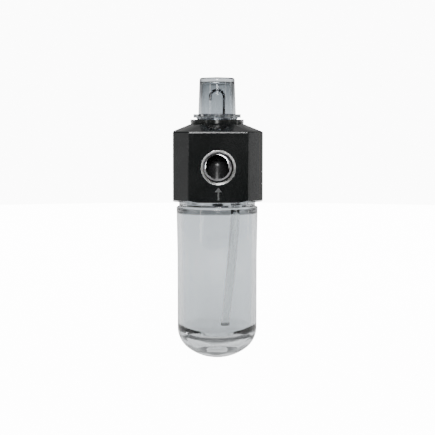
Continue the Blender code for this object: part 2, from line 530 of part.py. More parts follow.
def make_feed(steel, rubber):
    stem_bottom = FEED_BORE_FLOOR + 2 * GAP
    groove_low = FEED_SEAL_HEIGHT - FEED_SEAL_WIRE - SEAL_GAP / 2
    groove_high = FEED_SEAL_HEIGHT + FEED_SEAL_WIRE + SEAL_GAP / 2
    groove_floor = FEED_STEM_RADIUS - 2 * FEED_SEAL_WIRE - SEAL_GAP
    needle_bore = NEEDLE_RADIUS + SEAL_GAP
    needle_seal_radius = NEEDLE_RADIUS + SEAL_GAP + NEEDLE_SEAL_WIRE
    needle_seal_wall = needle_seal_radius + NEEDLE_SEAL_WIRE + SEAL_GAP
    needle_seal_top = stem_bottom + 2 * (NEEDLE_SEAL_WIRE + SEAL_GAP)
    head_wall = NEEDLE_HEAD_RADIUS + GAP
    cone = NEEDLE_HEAD_RADIUS - NEEDLE_STEM_RADIUS
    cone_low = NEEDLE_SEAT + GAP - (needle_bore - NEEDLE_STEM_RADIUS)
    head = cone_low + cone + NEEDLE_HEAD_HEIGHT
    head_top = head + NEEDLE_TRAVEL + GAP

    body = [(0, head_top), (head_wall, head_top), (head_wall, NEEDLE_SEAT), (needle_bore, NEEDLE_SEAT),
            (needle_bore, needle_seal_top), (needle_seal_wall, needle_seal_top),
            (needle_seal_wall, stem_bottom), (FEED_STEM_RADIUS, stem_bottom),
            (FEED_STEM_RADIUS, groove_low), (groove_floor, groove_low), (groove_floor, groove_high),
            (FEED_STEM_RADIUS, groove_high), (FEED_STEM_RADIUS, RECESS_FLOOR + GAP),
            (FEED_RADIUS, RECESS_FLOOR + GAP), (FEED_RADIUS, FEED_TOP - FEED_CHAMFER),
            (FEED_RADIUS - FEED_CHAMFER, FEED_TOP), (0, FEED_TOP)]
    block = turned("feed_block", body, steel)

    bm = bmesh.new()
    leg_hole = rod(DRIP_WIRE + GAP, DRIP_FOOT - 2 * GAP, FEED_TOP + PAST)
    spin_profile(bm, leg_hole, HOLE_FACETS, shifted(DRIP_OFFSET))
    drain = [(0, stem_bottom - PAST), (DRAIN_RADIUS, stem_bottom - PAST),
             (DRAIN_RADIUS, FEED_TOP - DRAIN_SINK), (DRAIN_RADIUS + DRAIN_SINK + PAST, FEED_TOP + PAST),
             (0, FEED_TOP + PAST)]
    spin_profile(bm, drain, HOLE_FACETS, shifted(-DRIP_OFFSET))
    combine(block, finished("feed_holes", bm), "DIFFERENCE")

    bm = bmesh.new()
    slot_low = head_top - PAST
    slot_top = head + TONGUE_HEIGHT + NEEDLE_TRAVEL + GAP
    box_mesh(bm, (TONGUE_THICKNESS + 2 * GAP, TONGUE_WIDTH + 2 * GAP, slot_top - slot_low),
             (0, 0, (slot_top + slot_low) / 2))
    combine(block, finished("tongue_slot", bm), "DIFFERENCE")

    bm = bmesh.new()
    sideways = Matrix.Rotation(math.radians(90), 4, "Y")
    outlet = rod(JET_RADIUS, NEEDLE_HEAD_RADIUS, DRIP_OFFSET)
    spin_profile(bm, outlet, 8, shifted(z=DRIP_FOOT - GAP) @ sideways)
    backwards = Matrix.Rotation(math.radians(-90), 4, "X")
    inlet = rod(FEED_INLET_RADIUS, 0, FEED_RADIUS + PAST)
    spin_profile(bm, inlet, 8, shifted(z=(NEEDLE_SHOULDER + NEEDLE_SEAT) / 2) @ backwards)
    combine(block, finished("cross_holes", bm), "DIFFERENCE")

    needle = [(0, NEEDLE_FOOT), (NEEDLE_RADIUS - NEEDLE_CHAMFER, NEEDLE_FOOT),
              (NEEDLE_RADIUS, NEEDLE_FOOT + NEEDLE_CHAMFER),
              (NEEDLE_RADIUS, NEEDLE_SHOULDER - NEEDLE_CHAMFER),
              (NEEDLE_STEM_RADIUS, NEEDLE_SHOULDER), (NEEDLE_STEM_RADIUS, cone_low),
              (NEEDLE_HEAD_RADIUS, cone_low + cone), (NEEDLE_HEAD_RADIUS, head), (0, head)]
    needle = turned("feed_needle", needle, steel, SMALL_FACETS)
    bm = bmesh.new()
    tongue_top = head + TONGUE_HEIGHT
    tongue_low = head - TONGUE_ROOT
    box_mesh(bm, (TONGUE_THICKNESS, TONGUE_WIDTH, tongue_top - tongue_low),
             (0, 0, (tongue_top + tongue_low) / 2))
    combine(needle, finished("tongue_guide", bm), "UNION")

    bend = DRIP_TOP - DRIP_WIRE - DRIP_OFFSET
    path = [(DRIP_OFFSET, 0, DRIP_FOOT), (DRIP_OFFSET, 0, (DRIP_FOOT + bend) / 2)]
    path += [(x, 0, z) for x, z in arc((0, bend), DRIP_OFFSET, 0, 180, 12)]
    path += [(-DRIP_OFFSET, 0, DRIP_TIP)]
    tube("drip_tube", path, DRIP_WIRE, DRIP_WIRE - DRIP_BORE, steel, 2)

    feed_seal_radius = FEED_BORE_RADIUS - SEAL_GAP - FEED_SEAL_WIRE
    seal("feed_seal", feed_seal_radius, FEED_SEAL_WIRE, FEED_SEAL_HEIGHT, rubber, SMALL_FACETS)
    needle_seal_height = (stem_bottom + needle_seal_top) / 2
    seal("needle_seal", needle_seal_radius, NEEDLE_SEAL_WIRE, needle_seal_height, rubber, SMALL_FACETS)


def make_dome_fixings(steel, rubber):
    dome_seal_radius = RECESS_RADIUS - GAP - DOME_SEAL_WIRE
    seal("dome_seal", dome_seal_radius, DOME_SEAL_WIRE, DOME_SEAL_HEIGHT, rubber, MEDIUM_FACETS)
    bm = bmesh.new()
    wire = arc((RECESS_RADIUS - SEAL_GAP / 2, CLIP_HEIGHT), CLIP_WIRE, 0, 300, 5)
    start = Matrix.Rotation(CLIP_OPENING / 2 + math.pi / 2, 4, "Z")
    spin_profile(bm, wire, 32, start, 2 * math.pi - CLIP_OPENING)
    finished("dome_clip", bm, steel)


def make_flow_core(finish, steel, rubber):
    seal_height = PLATE_TOP + PLUG_HEIGHT / 2
    groove_low = seal_height - CORE_SEAL_WIRE - SEAL_GAP / 2
    groove_high = seal_height + CORE_SEAL_WIRE + SEAL_GAP / 2
    groove_floor = CHAMBER_RADIUS - 2 * CORE_SEAL_WIRE - 2 * SEAL_GAP
    bore_top = POST_RADIUS - CORE_BORE_RADIUS
    profile = [(0, bore_top)]
    profile += arc((0, bore_top - CORE_BORE_RADIUS), CORE_BORE_RADIUS, 60, 0, 2)
    profile += [(CORE_BORE_RADIUS, PLATE_BOTTOM), (PLATE_RADIUS, PLATE_BOTTOM),
                (PLATE_RADIUS, PLATE_TOP), (PLUG_RADIUS, PLATE_TOP), (PLUG_RADIUS, groove_low),
                (groove_floor, groove_low), (groove_floor, groove_high), (PLUG_RADIUS, groove_high),
                (PLUG_RADIUS, PLATE_TOP + PLUG_HEIGHT), (POST_RADIUS, PLATE_TOP + PLUG_HEIGHT)]
    profile += arc((0, 0), POST_RADIUS, 0, 90, 7)[:-1]
    profile += [(0, POST_RADIUS)]
    core = turned("flow_core", profile, finish)

    charge_bottom = charge_spring_foot() - GAP
    bm = bmesh.new()
    boss_radius = FITTING_SHANK_RADIUS + GAP + BOSS_WALL
    siphon_boss = rod(boss_radius, BOSS_BOTTOM, PLATE_BOTTOM + PAST)
    spin_profile(bm, siphon_boss, BOSS_FACETS, shifted(RISER_OFFSET))
    charge_boss = rod(CHARGE_BOSS_RADIUS, charge_bottom - CAP_HEIGHT, PLATE_BOTTOM + PAST)
    spin_profile(bm, charge_boss, BOSS_FACETS, shifted(0, -CHARGE_OFFSET))
    combine(core, finished("boss_guide", bm), "UNION")

    bm = bmesh.new()
    siphon_socket = [(0, BOSS_BOTTOM - PAST), (FITTING_SHANK_RADIUS + GAP, BOSS_BOTTOM - PAST),
                     (FITTING_SHANK_RADIUS + GAP, FITTING_SOCKET_TOP), (RISER_RADIUS, FITTING_SOCKET_TOP),
                     (RISER_RADIUS, PLATE_TOP + PAST), (0, PLATE_TOP + PAST)]
    spin_profile(bm, siphon_socket, SMALL_FACETS, shifted(RISER_OFFSET))
    guide = CHARGE_BALL_RADIUS + BALL_SIDE_GAP
    seat_depth = guide - CHARGE_HOLE_RADIUS
    charge_bore = [(0, charge_bottom - CAP_HEIGHT - PAST), (guide, charge_bottom - CAP_HEIGHT - PAST),
                   (guide, CHARGE_SEAT - seat_depth), (CHARGE_HOLE_RADIUS, CHARGE_SEAT),
                   (CHARGE_HOLE_RADIUS, PLATE_TOP + PAST), (0, PLATE_TOP + PAST)]
    spin_profile(bm, charge_bore, SMALL_FACETS, shifted(0, -CHARGE_OFFSET))
    for side in (1, -1):
        hole = rod(SCREW_RADIUS + GAP, PLATE_BOTTOM - PAST, PLATE_TOP + PAST)
        spin_profile(bm, hole, HOLE_FACETS, shifted(side * SCREW_OFFSET, side * SCREW_OFFSET))
    combine(core, finished("core_holes", bm), "DIFFERENCE")

    bm = bmesh.new()
    groove_inner = RISER_SEAL_RADIUS - RISER_SEAL_WIRE - SEAL_GAP / 2
    groove_outer = RISER_SEAL_RADIUS + RISER_SEAL_WIRE + SEAL_GAP / 2
    seal_floor = PLATE_TOP - 2 * RISER_SEAL_WIRE - SEAL_GAP / 2
    groove = [(groove_inner, seal_floor), (groove_outer, seal_floor), (groove_outer, PLATE_TOP + PAST),
              (groove_inner, PLATE_TOP + PAST)]
    spin_profile(bm, groove, SMALL_FACETS, shifted(RISER_OFFSET))
    combine(core, finished("riser_groove", bm), "DIFFERENCE")

    core_seal_radius = CHAMBER_RADIUS - SEAL_GAP - CORE_SEAL_WIRE
    seal("core_seal", core_seal_radius, CORE_SEAL_WIRE, seal_height, rubber, SMALL_FACETS)
    seal("riser_seal", RISER_SEAL_RADIUS, RISER_SEAL_WIRE, PLATE_TOP - RISER_SEAL_WIRE, rubber,
         SMALL_FACETS, shifted(RISER_OFFSET))

    head_top = PLATE_BOTTOM - GAP
    head_low = head_top - SCREW_HEAD_HEIGHT
    screw = [(0, head_low), (SCREW_HEAD_RADIUS - SCREW_CHAMFER, head_low),
             (SCREW_HEAD_RADIUS, head_low + SCREW_CHAMFER), (SCREW_HEAD_RADIUS, head_top),
             (SCREW_RADIUS, head_top), (SCREW_RADIUS, CEILING + SCREW_REACH), (0, CEILING + SCREW_REACH)]
    for number, side in ((1, 1), (2, -1)):
        x = side * SCREW_OFFSET
        made = turned(f"core_screw_{number}", screw, steel, SMALL_FACETS, shifted(x, x))
        bm = bmesh.new()
        box_mesh(bm, (SCREW_SLOT, 3 * SCREW_HEAD_RADIUS, SCREW_HEAD_HEIGHT), (x, x, head_low))
        combine(made, finished(f"screw_slot_{number}", bm), "DIFFERENCE")


def charge_ball_height():
    """Middle of the ball, one gap below its conical seat."""
    apex = CHARGE_SEAT + CHARGE_HOLE_RADIUS
    return apex - (CHARGE_BALL_RADIUS + GAP) * math.sqrt(2)


def charge_spring_foot():
    return charge_ball_height() - CHARGE_BALL_RADIUS - GAP - CHARGE_SPRING_LENGTH


def ball(name, radius, centre, finish):
    bm = bmesh.new()
    bmesh.ops.create_uvsphere(bm, u_segments=14, v_segments=8, radius=radius)
    bmesh.ops.translate(bm, vec=centre, verts=bm.verts)
    return finished(name, bm, finish)


def make_siphon(clear, steel):
    guide = SIPHON_BALL_RADIUS + BALL_SIDE_GAP
    ball_low = FITTING_TOP - SIPHON_SEAT_DEPTH
    seat_depth = guide - FITTING_BORE
    flange_low = FITTING_SHOULDER - FITTING_FLANGE_HEIGHT
    barb_end = flange_low - BARB_LENGTH
    ridge = barb_end + BARB_RIDGE_HEIGHT
    fitting = [(guide, FITTING_TOP), (guide, ball_low), (FITTING_BORE, ball_low - seat_depth),
               (FITTING_BORE, barb_end), (BARB_RADIUS - BARB_CHAMFER, barb_end),
               (BARB_RADIUS + BARB_RIDGE, ridge), (BARB_RADIUS, ridge + BARB_RIDGE),
               (BARB_RADIUS, flange_low), (FITTING_FLANGE_RADIUS, flange_low),
               (FITTING_FLANGE_RADIUS, FITTING_SHOULDER), (FITTING_SHANK_RADIUS, FITTING_SHOULDER),
               (FITTING_SHANK_RADIUS, FITTING_TOP)]
    turned("siphon_fitting", fitting, steel, SMALL_FACETS, shifted(RISER_OFFSET))

    apex = ball_low - guide
    ball_height = apex + (SIPHON_BALL_RADIUS + GAP) * math.sqrt(2)
    ball("siphon_ball", SIPHON_BALL_RADIUS, (RISER_OFFSET, 0, ball_height), steel)

    top = flange_low - GAP
    straight = barb_end - SIPHON_STRAIGHT
    foot = -BLOCK_BELOW - BOWL_LENGTH + FLOOR_THICKNESS + SIPHON_CLEARANCE
    path = [(RISER_OFFSET, 0, top), (RISER_OFFSET, 0, straight)]
    for step in range(1, SIPHON_STEPS + 1):
        share = step / SIPHON_STEPS
        lean = SIPHON_LEAN * (share - SIPHON_BEND * math.sin(math.pi * share) / math.pi)
        path.append((RISER_OFFSET - lean, 0, straight + (foot - straight) * share))
    tube("siphon_tube", path, SIPHON_TUBE_RADIUS, SIPHON_TUBE_WALL, clear, 3)


def make_charge_valve(steel):
    height = charge_ball_height()
    ball("charge_valve_ball", CHARGE_BALL_RADIUS, (0, -CHARGE_OFFSET, height), steel)

    low = charge_spring_foot() + CHARGE_SPRING_WIRE
    high = low + CHARGE_SPRING_LENGTH - 2 * CHARGE_SPRING_WIRE
    curve = bpy.data.curves.new("charge_valve_spring", "CURVE")
    curve.dimensions = "3D"
    curve.bevel_depth = CHARGE_SPRING_WIRE
    curve.bevel_resolution = 1
    curve.use_fill_caps = True
    spline = curve.splines.new("POLY")
    steps = int(CHARGE_SPRING_TURNS * COIL_STEPS)
    spline.points.add(steps)
    for step, point in enumerate(spline.points):
        angle = 2 * math.pi * step / COIL_STEPS
        x = CHARGE_SPRING_RADIUS * math.cos(angle)
        y = CHARGE_SPRING_RADIUS * math.sin(angle) - CHARGE_OFFSET
        point.co = (x, y, low + (high - low) * step / steps, 1.0)
    curve.materials.append(steel)
    spring = bpy.data.objects.new("charge_valve_spring", curve)
    bpy.context.collection.objects.link(spring)

    top = charge_spring_foot() - GAP
    shoulder = top - CAP_HEIGHT - GAP
    plug = CHARGE_BALL_RADIUS + BALL_SIDE_GAP - GAP
    cap = [(CAP_BORE, top), (plug, top), (plug, shoulder), (CHARGE_BOSS_RADIUS, shoulder),
           (CHARGE_BOSS_RADIUS, shoulder - CAP_FLANGE), (CAP_BORE, shoulder - CAP_FLANGE)]
    turned("charge_valve_cap", cap, steel, SMALL_FACETS, shifted(0, -CHARGE_OFFSET))


def main():
    for old in list(bpy.data.objects):
        bpy.data.objects.remove(old, do_unlink=True)

    black_paint = material("black_paint", (0.012, 0.013, 0.014), 0.18)
    clear_plastic = material("clear_plastic", (0.86, 0.88, 0.88), 0.05, alpha=0.3)
    smoked_plastic = material("smoked_plastic", (0.42, 0.45, 0.47), 0.06, alpha=0.45)
    black_resin = material("black_resin", (0.02, 0.02, 0.022), 0.25)
    steel = material("steel", (0.55, 0.56, 0.58), 0.25, 1.0)
    rubber = material("rubber", (0.02, 0.02, 0.02), 0.7)

    make_body(black_paint)
    make_bowl(clear_plastic)
    make_sight_dome(smoked_plastic)
    make_feed(steel, rubber)
    make_dome_fixings(steel, rubber)
    make_flow_core(black_resin, steel, rubber)
    make_siphon(clear_plastic, steel)
    make_charge_valve(steel)
    bowl_seal_radius = (NECK_BORE + SOCKET_RADIUS) / 2 - LEDGE
    bowl_seal_height = CEILING - GAP - BOWL_SEAL_WIRE
    seal("bowl_seal", bowl_seal_radius, BOWL_SEAL_WIRE, bowl_seal_height, rubber, LARGE_FACETS)


main()
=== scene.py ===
import math

import bmesh
import bpy
from mathutils import Matrix, Vector


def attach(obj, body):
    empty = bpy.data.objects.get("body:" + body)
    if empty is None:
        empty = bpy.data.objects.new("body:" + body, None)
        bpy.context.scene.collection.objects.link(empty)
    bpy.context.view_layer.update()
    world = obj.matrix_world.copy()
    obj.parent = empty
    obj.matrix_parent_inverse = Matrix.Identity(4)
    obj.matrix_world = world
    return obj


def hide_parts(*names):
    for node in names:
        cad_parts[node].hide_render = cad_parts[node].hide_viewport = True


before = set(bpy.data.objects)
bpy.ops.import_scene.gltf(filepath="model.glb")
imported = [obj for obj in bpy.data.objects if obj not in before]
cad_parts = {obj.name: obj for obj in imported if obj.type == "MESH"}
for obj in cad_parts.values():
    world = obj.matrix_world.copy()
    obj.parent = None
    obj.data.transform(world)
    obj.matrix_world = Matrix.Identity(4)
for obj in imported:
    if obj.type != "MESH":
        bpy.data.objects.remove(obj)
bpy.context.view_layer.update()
mm = 0.001
print("frame loaded:", len(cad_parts), "CAD nodes")


# shader helpers: a Wire is one output of a node, a Finish is one material
class Wire:
    def __init__(self, finish, socket):
        self.finish = finish
        self.socket = socket

    def maths(self, operation, *values):
        inputs = dict(enumerate((self, *values)))
        return self.finish.node("ShaderNodeMath", {"operation": operation}, inputs)

    def __add__(self, other):
        return self.maths("ADD", other)

    def __sub__(self, other):
        return self.maths("SUBTRACT", other)

    def __rsub__(self, other):
        return self.maths("MULTIPLY", -1).maths("ADD", other)

    def __mul__(self, other):
        return self.maths("MULTIPLY", other)

    def __truediv__(self, other):
        return self.maths("DIVIDE", other)

    def __pow__(self, other):
        return self.maths("POWER", other)

    def __neg__(self):
        return self.maths("MULTIPLY", -1)

    __radd__ = __add__
    __rmul__ = __mul__


class Finish:
    def __init__(self, name, **fixed):                 # fixed: sockets with one value all over
        self.material = bpy.data.materials.new(name)
        self.material.use_nodes = True
        self.tree = self.material.node_tree
        self.shader = self.tree.nodes["Principled BSDF"]
        self.set(self.shader, fixed)
        colour = fixed.get("Base Color", (0.5, 0.5, 0.5))
        self.material.diffuse_color = (*colour, 1)

    def set(self, node, values):
        for key, value in values.items():
            socket = node.inputs[key]
            if isinstance(value, Wire):
                self.tree.links.new(value.socket, socket)
            elif isinstance(value, (tuple, list)) and socket.type == "RGBA":
                socket.default_value = (*value, 1)[:4]
            else:
                socket.default_value = value

    def node(self, kind, settings=None, values=None, output=0):
        made = self.tree.nodes.new(kind)
        for key, value in (settings or {}).items():
            if key == "stops":
                fillRamp(made.color_ramp, value)
            else:
                setattr(made, key, value)
        self.set(made, values or {})
        return Wire(self, made.outputs[output])

    def place(self):                                   # metres in the piece's own frame
        return self.node("ShaderNodeTexCoord", output="Object")

    def split(self, vector):
        made = self.node("ShaderNodeSeparateXYZ", values={0: vector})
        return [Wire(self, socket) for socket in made.socket.node.outputs]

    def noise(self, scale, detail=3.0, roughness=0.5, vector=None, stretch=None):
        spot = vector or self.place()
        if stretch:
            spot = self.node("ShaderNodeMapping", values={"Vector": spot, "Scale": stretch})
        return self.node("ShaderNodeTexNoise", values={"Vector": spot, "Scale": scale, "Detail": detail,
                                                       "Roughness": roughness})

    def ramp(self, value, stops, mode="EASE"):
        made = self.node("ShaderNodeValToRGB", {"stops": stops}, {0: value})
        made.socket.node.color_ramp.interpolation = mode
        return made

    def blend(self, share, first, second):             # two colours by a share
        return self.node("ShaderNodeMix", {"data_type": "RGBA"}, {"Factor": share, 6: first, 7: second},
                         output=2)

    def spread(self, value, low, high, fromLow=0.0, fromHigh=1.0):    # from one range to another
        return self.node("ShaderNodeMapRange", {"clamp": True},
                         {"Value": value, "From Min": fromLow, "From Max": fromHigh, "To Min": low,
                          "To Max": high})

    def bump(self, height, distance, strength=1.0):
        return self.node("ShaderNodeBump", values={"Height": height, "Distance": distance,
                                                   "Strength": strength})

    def feed(self, **values):                          # what changes over the surface
        names = {"colour": "Base Color", "roughness": "Roughness", "coat": "Coat Weight",
                 "emission": "Emission Color", "normal": "Normal"}
        self.set(self.shader, {names[key]: value for key, value in values.items()})
        return self


def fillRamp(ramp, stops):
    while len(ramp.elements) < len(stops):
        ramp.elements.new(0.5)
    for element, (at, colour) in zip(ramp.elements, stops):
        element.position = at
        element.color = (*colour, 1)


black, white = (0, 0, 0), (1, 1, 1)


def waves(wire, pitch):                                # turning marks, one every pitch millimetres
    return (wire * (2 * math.pi / (pitch * mm))).maths("SINE")


# glossy black enamel over a casting; the arrow faces get a paler colour, part rubbed paint and part
# painted highlight
paintLook = {"colour": (0.0058, 0.0068, 0.0068), "paleSpecks": (0.016, 0.0165, 0.016),
             "raised": (0.075, 0.078, 0.078), "roughness": 0.17, "coatRoughness": 0.06,
             "orangePeel": 420, "castWaves": 95, "dustGrain": 2600, "handling": 38,
             "peelDepth": 0.004, "gloss": (0.12, 0.2), "coat": (0.7, 0.25),
             "lowEdge": (-16.0, -12.0), "arrowFace": (20.15, 20.28)}


def blackEnamel():
    look = paintLook
    finish = Finish("blackEnamel", **{"Base Color": look["colour"], "Roughness": look["roughness"],
                                      "IOR": 1.5, "Coat Roughness": look["coatRoughness"]})
    peel = finish.noise(look["orangePeel"], 2.0, 0.45)
    broad = finish.noise(look["castWaves"], 3.0, 0.5)
    specks = finish.noise(look["dustGrain"], 2.0, 0.6)
    handling = finish.noise(look["handling"], 4.0, 0.6)
    specked = finish.ramp(specks, [(0.66, black), (0.76, white)])
    y, z = finish.split(finish.place())[1:]
    # pale specks, denser towards the bottom edge of the block
    low = finish.spread(z, 1.0, 0.25, *(level * mm for level in look["lowEdge"]))
    paleSpecks = specked * finish.spread(handling, 0.0, 0.5, 0.45, 0.7) + specked * low * 0.35
    worn = finish.spread(handling, *look["gloss"], 0.35, 0.72)
    height = peel * 0.8 + broad * 1.6 + specks * 0.05
    # the arrows stand proud; their faces are painted paler, partly rubbed paint and partly a painted
    # highlight of the light they catch
    proud = finish.spread(y.maths("ABSOLUTE"), 0.0, 1.0, *(level * mm for level in look["arrowFace"]))
    painted = finish.blend(paleSpecks, look["colour"], look["paleSpecks"])
    sheenAndRubShare = proud * finish.spread(specks, 0.7, 1.0, 0.3, 0.7)
    return finish.feed(colour=finish.blend(sheenAndRubShare, painted, look["raised"]),
                       roughness=worn + specked * 0.12 + proud * 0.15,
                       coat=finish.spread(handling, *look["coat"], 0.3, 0.8),
                       normal=finish.bump(height, look["peelDepth"] * mm, 0.8))


# bright turned metal at the mouths of the ports, with rings about the Y axis
portLook = {"light": (0.80, 0.80, 0.79), "dull": (0.46, 0.46, 0.45), "roughness": 0.24,
            "ringPitch": 0.16, "chatter": 900, "stain": 240, "cut": 0.006}


def turnedMetal():
    look = portLook
    finish = Finish("turnedMetal", **{"Base Color": look["light"], "Roughness": look["roughness"],
                                      "Metallic": 1.0})
    x, y, z = finish.split(finish.place())
    rings = waves((x * x + z * z) ** 0.5, look["ringPitch"])
    along = waves(y, look["ringPitch"])
    chatter = finish.noise(look["chatter"], 3.0, 0.6)
    stain = finish.noise(look["stain"], 4.0, 0.65)
    oiled = finish.ramp(stain, [(0.42, black), (0.64, white)])
    height = rings * 0.5 + along * 0.35 + chatter * 0.8
    return finish.feed(colour=finish.blend(oiled * 0.8, look["light"], look["dull"]),
                       roughness=finish.spread(stain, 0.18, 0.42, 0.3, 0.75) + chatter * 0.05,
                       normal=finish.bump(height, look["cut"] * mm, 0.7))


# plain metals of the small parts
metalLook = {"stain": 310, "cut": 0.005, "polish": 0.06, "tarnishRoughness": 0.14}


def smallMetal(name, light, dull, roughness, grain, pitch=0.12):
    look = metalLook
    finish = Finish(name, **{"Base Color": light, "Roughness": roughness, "Metallic": 1.0})
    z = finish.split(finish.place())[2]
    lines = waves(z, pitch)
    stain = finish.noise(look["stain"], 4.0, 0.6)
    fine = finish.noise(grain, 3.0, 0.6)
    tarnish = finish.ramp(stain, [(0.4, black), (0.68, white)])
    rough = finish.spread(stain, roughness - look["polish"], roughness + look["tarnishRoughness"],
                          0.3, 0.7)
    return finish.feed(colour=finish.blend(tarnish * 0.7, light, dull), roughness=rough + fine * 0.06,
                       normal=finish.bump(lines * 0.5 + fine, look["cut"] * mm, 0.6))


# clear moulded plastic; tint is what one wall passes
mouldLook = {"broad": 70, "wipe": 160, "scratches": 2400, "streakTint": 0.965, "wiped": 2.6,
             "gripHaze": 0.28, "gripEdge": 0.1}


def clearMoulding(name, tint, haze, ior, flow, waviness, grip=None):
    look = mouldLook
    finish = Finish(name, **{"Base Color": tint, "Roughness": haze, "IOR": ior,
                             "Transmission Weight": 1.0})
    x, y, z = finish.split(finish.place())
    streaks = finish.noise(flow, 3.0, 0.5, stretch=(1, 1, 0.06))
    broad = finish.noise(look["broad"], 2.0, 0.5)
    wipe = finish.noise(look["wipe"], 5.0, 0.6, stretch=(1, 1, 0.35))
    scratches = finish.noise(look["scratches"], 2.0, 0.6, stretch=(1, 1, 0.03))
    fine = finish.ramp(scratches, [(0.69, black), (0.74, white)])
    cloud = finish.spread(wipe, haze, haze * look["wiped"], 0.4, 0.75)
    if grip:                                           # satin band outside a radius, from low to high
        reach, low, high = (value * mm for value in grip)
        edge = look["gripEdge"] * mm
        satin = finish.spread((x * x + y * y) ** 0.5, 0, look["gripHaze"], reach, reach + edge)
        satin = satin * finish.spread(z, 0, 1, low - edge, low)
        satin = satin * finish.spread(z, 1, 0, high, high + edge)
        cloud = cloud + satin
    duller = tuple(value * look["streakTint"] for value in tint)
    flowed = finish.spread(streaks, 0, 1, 0.35, 0.7)
    return finish.feed(colour=finish.blend(flowed, tint, duller), roughness=cloud + fine * 0.05,
                       normal=finish.bump(streaks + broad * 2.0 + fine * 0.06, waviness * mm, 0.6))


# moulded black plastic of the core, and the rubber of the seals
def blackMoulding(name, colour, roughness, grain, depth, paler, bloomSize=180):
    finish = Finish(name, **{"Base Color": colour, "Roughness": roughness, "IOR": 1.52})
    fine = finish.noise(grain, 3.0, 0.6)
    broad = finish.noise(bloomSize, 3.0, 0.5)
    bloom = finish.ramp(broad, [(0.45, black), (0.75, white)])
    rough = finish.spread(broad, roughness * 0.8, roughness * 1.35, 0.3, 0.7)
    return finish.feed(colour=finish.blend(bloom * 0.6, colour, paler), roughness=rough + fine * 0.04,
                       normal=finish.bump(fine * 0.6 + broad * 1.2, depth * mm, 0.6))


enamel = blackEnamel()
barePort = turnedMetal()
clearBowl = clearMoulding("clearBowl", tint=(0.80, 0.835, 0.86), haze=0.012, ior=1.5, flow=240,
                          waviness=0.12)
smokedDome = clearMoulding("smokedDome", tint=(0.67, 0.715, 0.75), haze=0.016, ior=1.54, flow=380,
                           waviness=0.04, grip=(8.8, 21.8, 23.3))
nylonTube = clearMoulding("nylonTube", tint=(0.90, 0.905, 0.90), haze=0.10, ior=1.45, flow=700,
                          waviness=0.01)
resin = blackMoulding("blackResin", colour=(0.02, 0.02, 0.021), roughness=0.26, grain=1600,
                      depth=0.003, paler=(0.03, 0.03, 0.031))
rubber = blackMoulding("sealRubber", colour=(0.014, 0.014, 0.0145), roughness=0.55, grain=2600,
                       depth=0.01, paler=(0.04, 0.04, 0.041))
plated = smallMetal("platedMetal", light=(0.72, 0.72, 0.73), dull=(0.5, 0.5, 0.5), roughness=0.24,
                    grain=1900)
steel = smallMetal("brightSteel", light=(0.62, 0.63, 0.64), dull=(0.36, 0.36, 0.37), roughness=0.22,
                   grain=2200, pitch=0.09)
# port threads and end ring: dark grey, darker than the bare countersink, as painted shade for the depth
# of the bore
shadedThreadMetal = smallMetal("shadedThreadMetal", light=(0.2, 0.2, 0.205), dull=(0.11, 0.11, 0.11),
                         roughness=0.36, grain=1900)
darkSteel = smallMetal("darkSteel", light=(0.14, 0.14, 0.145), dull=(0.07, 0.07, 0.07),
                       roughness=0.2, grain=2200, pitch=0.09)
print("finishes made:", len(bpy.data.materials))


# modelling helpers; every size below is in millimetres
def rounded(points, steps=5):                          # third number of a point: its corner radius
    made = []
    for index, point in enumerate(points):
        here = Vector(point[:2])
        if len(point) < 3 or index in (0, len(points) - 1):
            made.append(tuple(here))
            continue
        before = (Vector(points[index - 1][:2]) - here).normalized()
        after = (Vector(points[index + 1][:2]) - here).normalized()
        half = before.angle(after) / 2
        reach = point[2] / math.tan(half)
        centre = here + (before + after).normalized() * point[2] / math.sin(half)
        start = here + before * reach - centre
        sweep = start.angle_signed(here + after * reach - centre)
        for step in range(steps + 1):
            turn = Matrix.Rotation(-sweep * step / steps, 2)
            made.append(tuple(centre + turn @ start))
    return made


def arcPoints(centre, radius, start, end, steps):
    angles = [math.radians(start + (end - start) * step / steps) for step in range(steps + 1)]
    return [(centre[0] + radius * math.cos(angle), centre[1] + radius * math.sin(angle))
            for angle in angles]


def turnProfile(bm, profile, steps=96, place=None):    # (radius, height) pairs about Z
    verts = [bm.verts.new((radius * mm, 0, height * mm)) for radius, height in profile]
    edges = [bm.edges.new(pair) for pair in zip(verts, verts[1:])]
    if profile[0][0] > 0 or profile[-1][0] > 0:
        edges.append(bm.edges.new((verts[-1], verts[0])))
    known = set(bm.verts) - set(verts)
    bmesh.ops.spin(bm, geom=verts + edges, cent=(0, 0, 0), axis=(0, 0, 1), angle=2 * math.pi,
                   steps=steps, use_merge=True, use_duplicate=False)
    if place:
        bmesh.ops.transform(bm, matrix=place, verts=[vert for vert in bm.verts if vert not in known])


def at(x=0.0, y=0.0, z=0.0):                           # a shift in millimetres
    return Matrix.Translation((x * mm, y * mm, z * mm))


def meshFrom(bm, name, finish=None, sharp=32):
    bmesh.ops.remove_doubles(bm, verts=bm.verts, dist=1e-7)
    bmesh.ops.recalc_face_normals(bm, faces=bm.faces)
    mesh = bpy.data.meshes.new(name)
    bm.to_mesh(mesh)
    bm.free()
    mesh.shade_smooth()
    mesh.set_sharp_from_angle(angle=math.radians(sharp))
    made = bpy.data.objects.new(name, mesh)
    bpy.context.collection.objects.link(made)
    if finish:
        mesh.materials.append(finish.material)
    return made


def settle(piece, body, slotName, *nodes):             # ride a body and stand for CAD nodes
    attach(piece, body)
    if nodes:
        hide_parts(*nodes)
    return piece


def turned(name, profile, finish=None, steps=96, place=None, sharp=32):
    bm = bmesh.new()
    turnProfile(bm, profile, steps, place)
    return meshFrom(bm, name, finish, sharp)


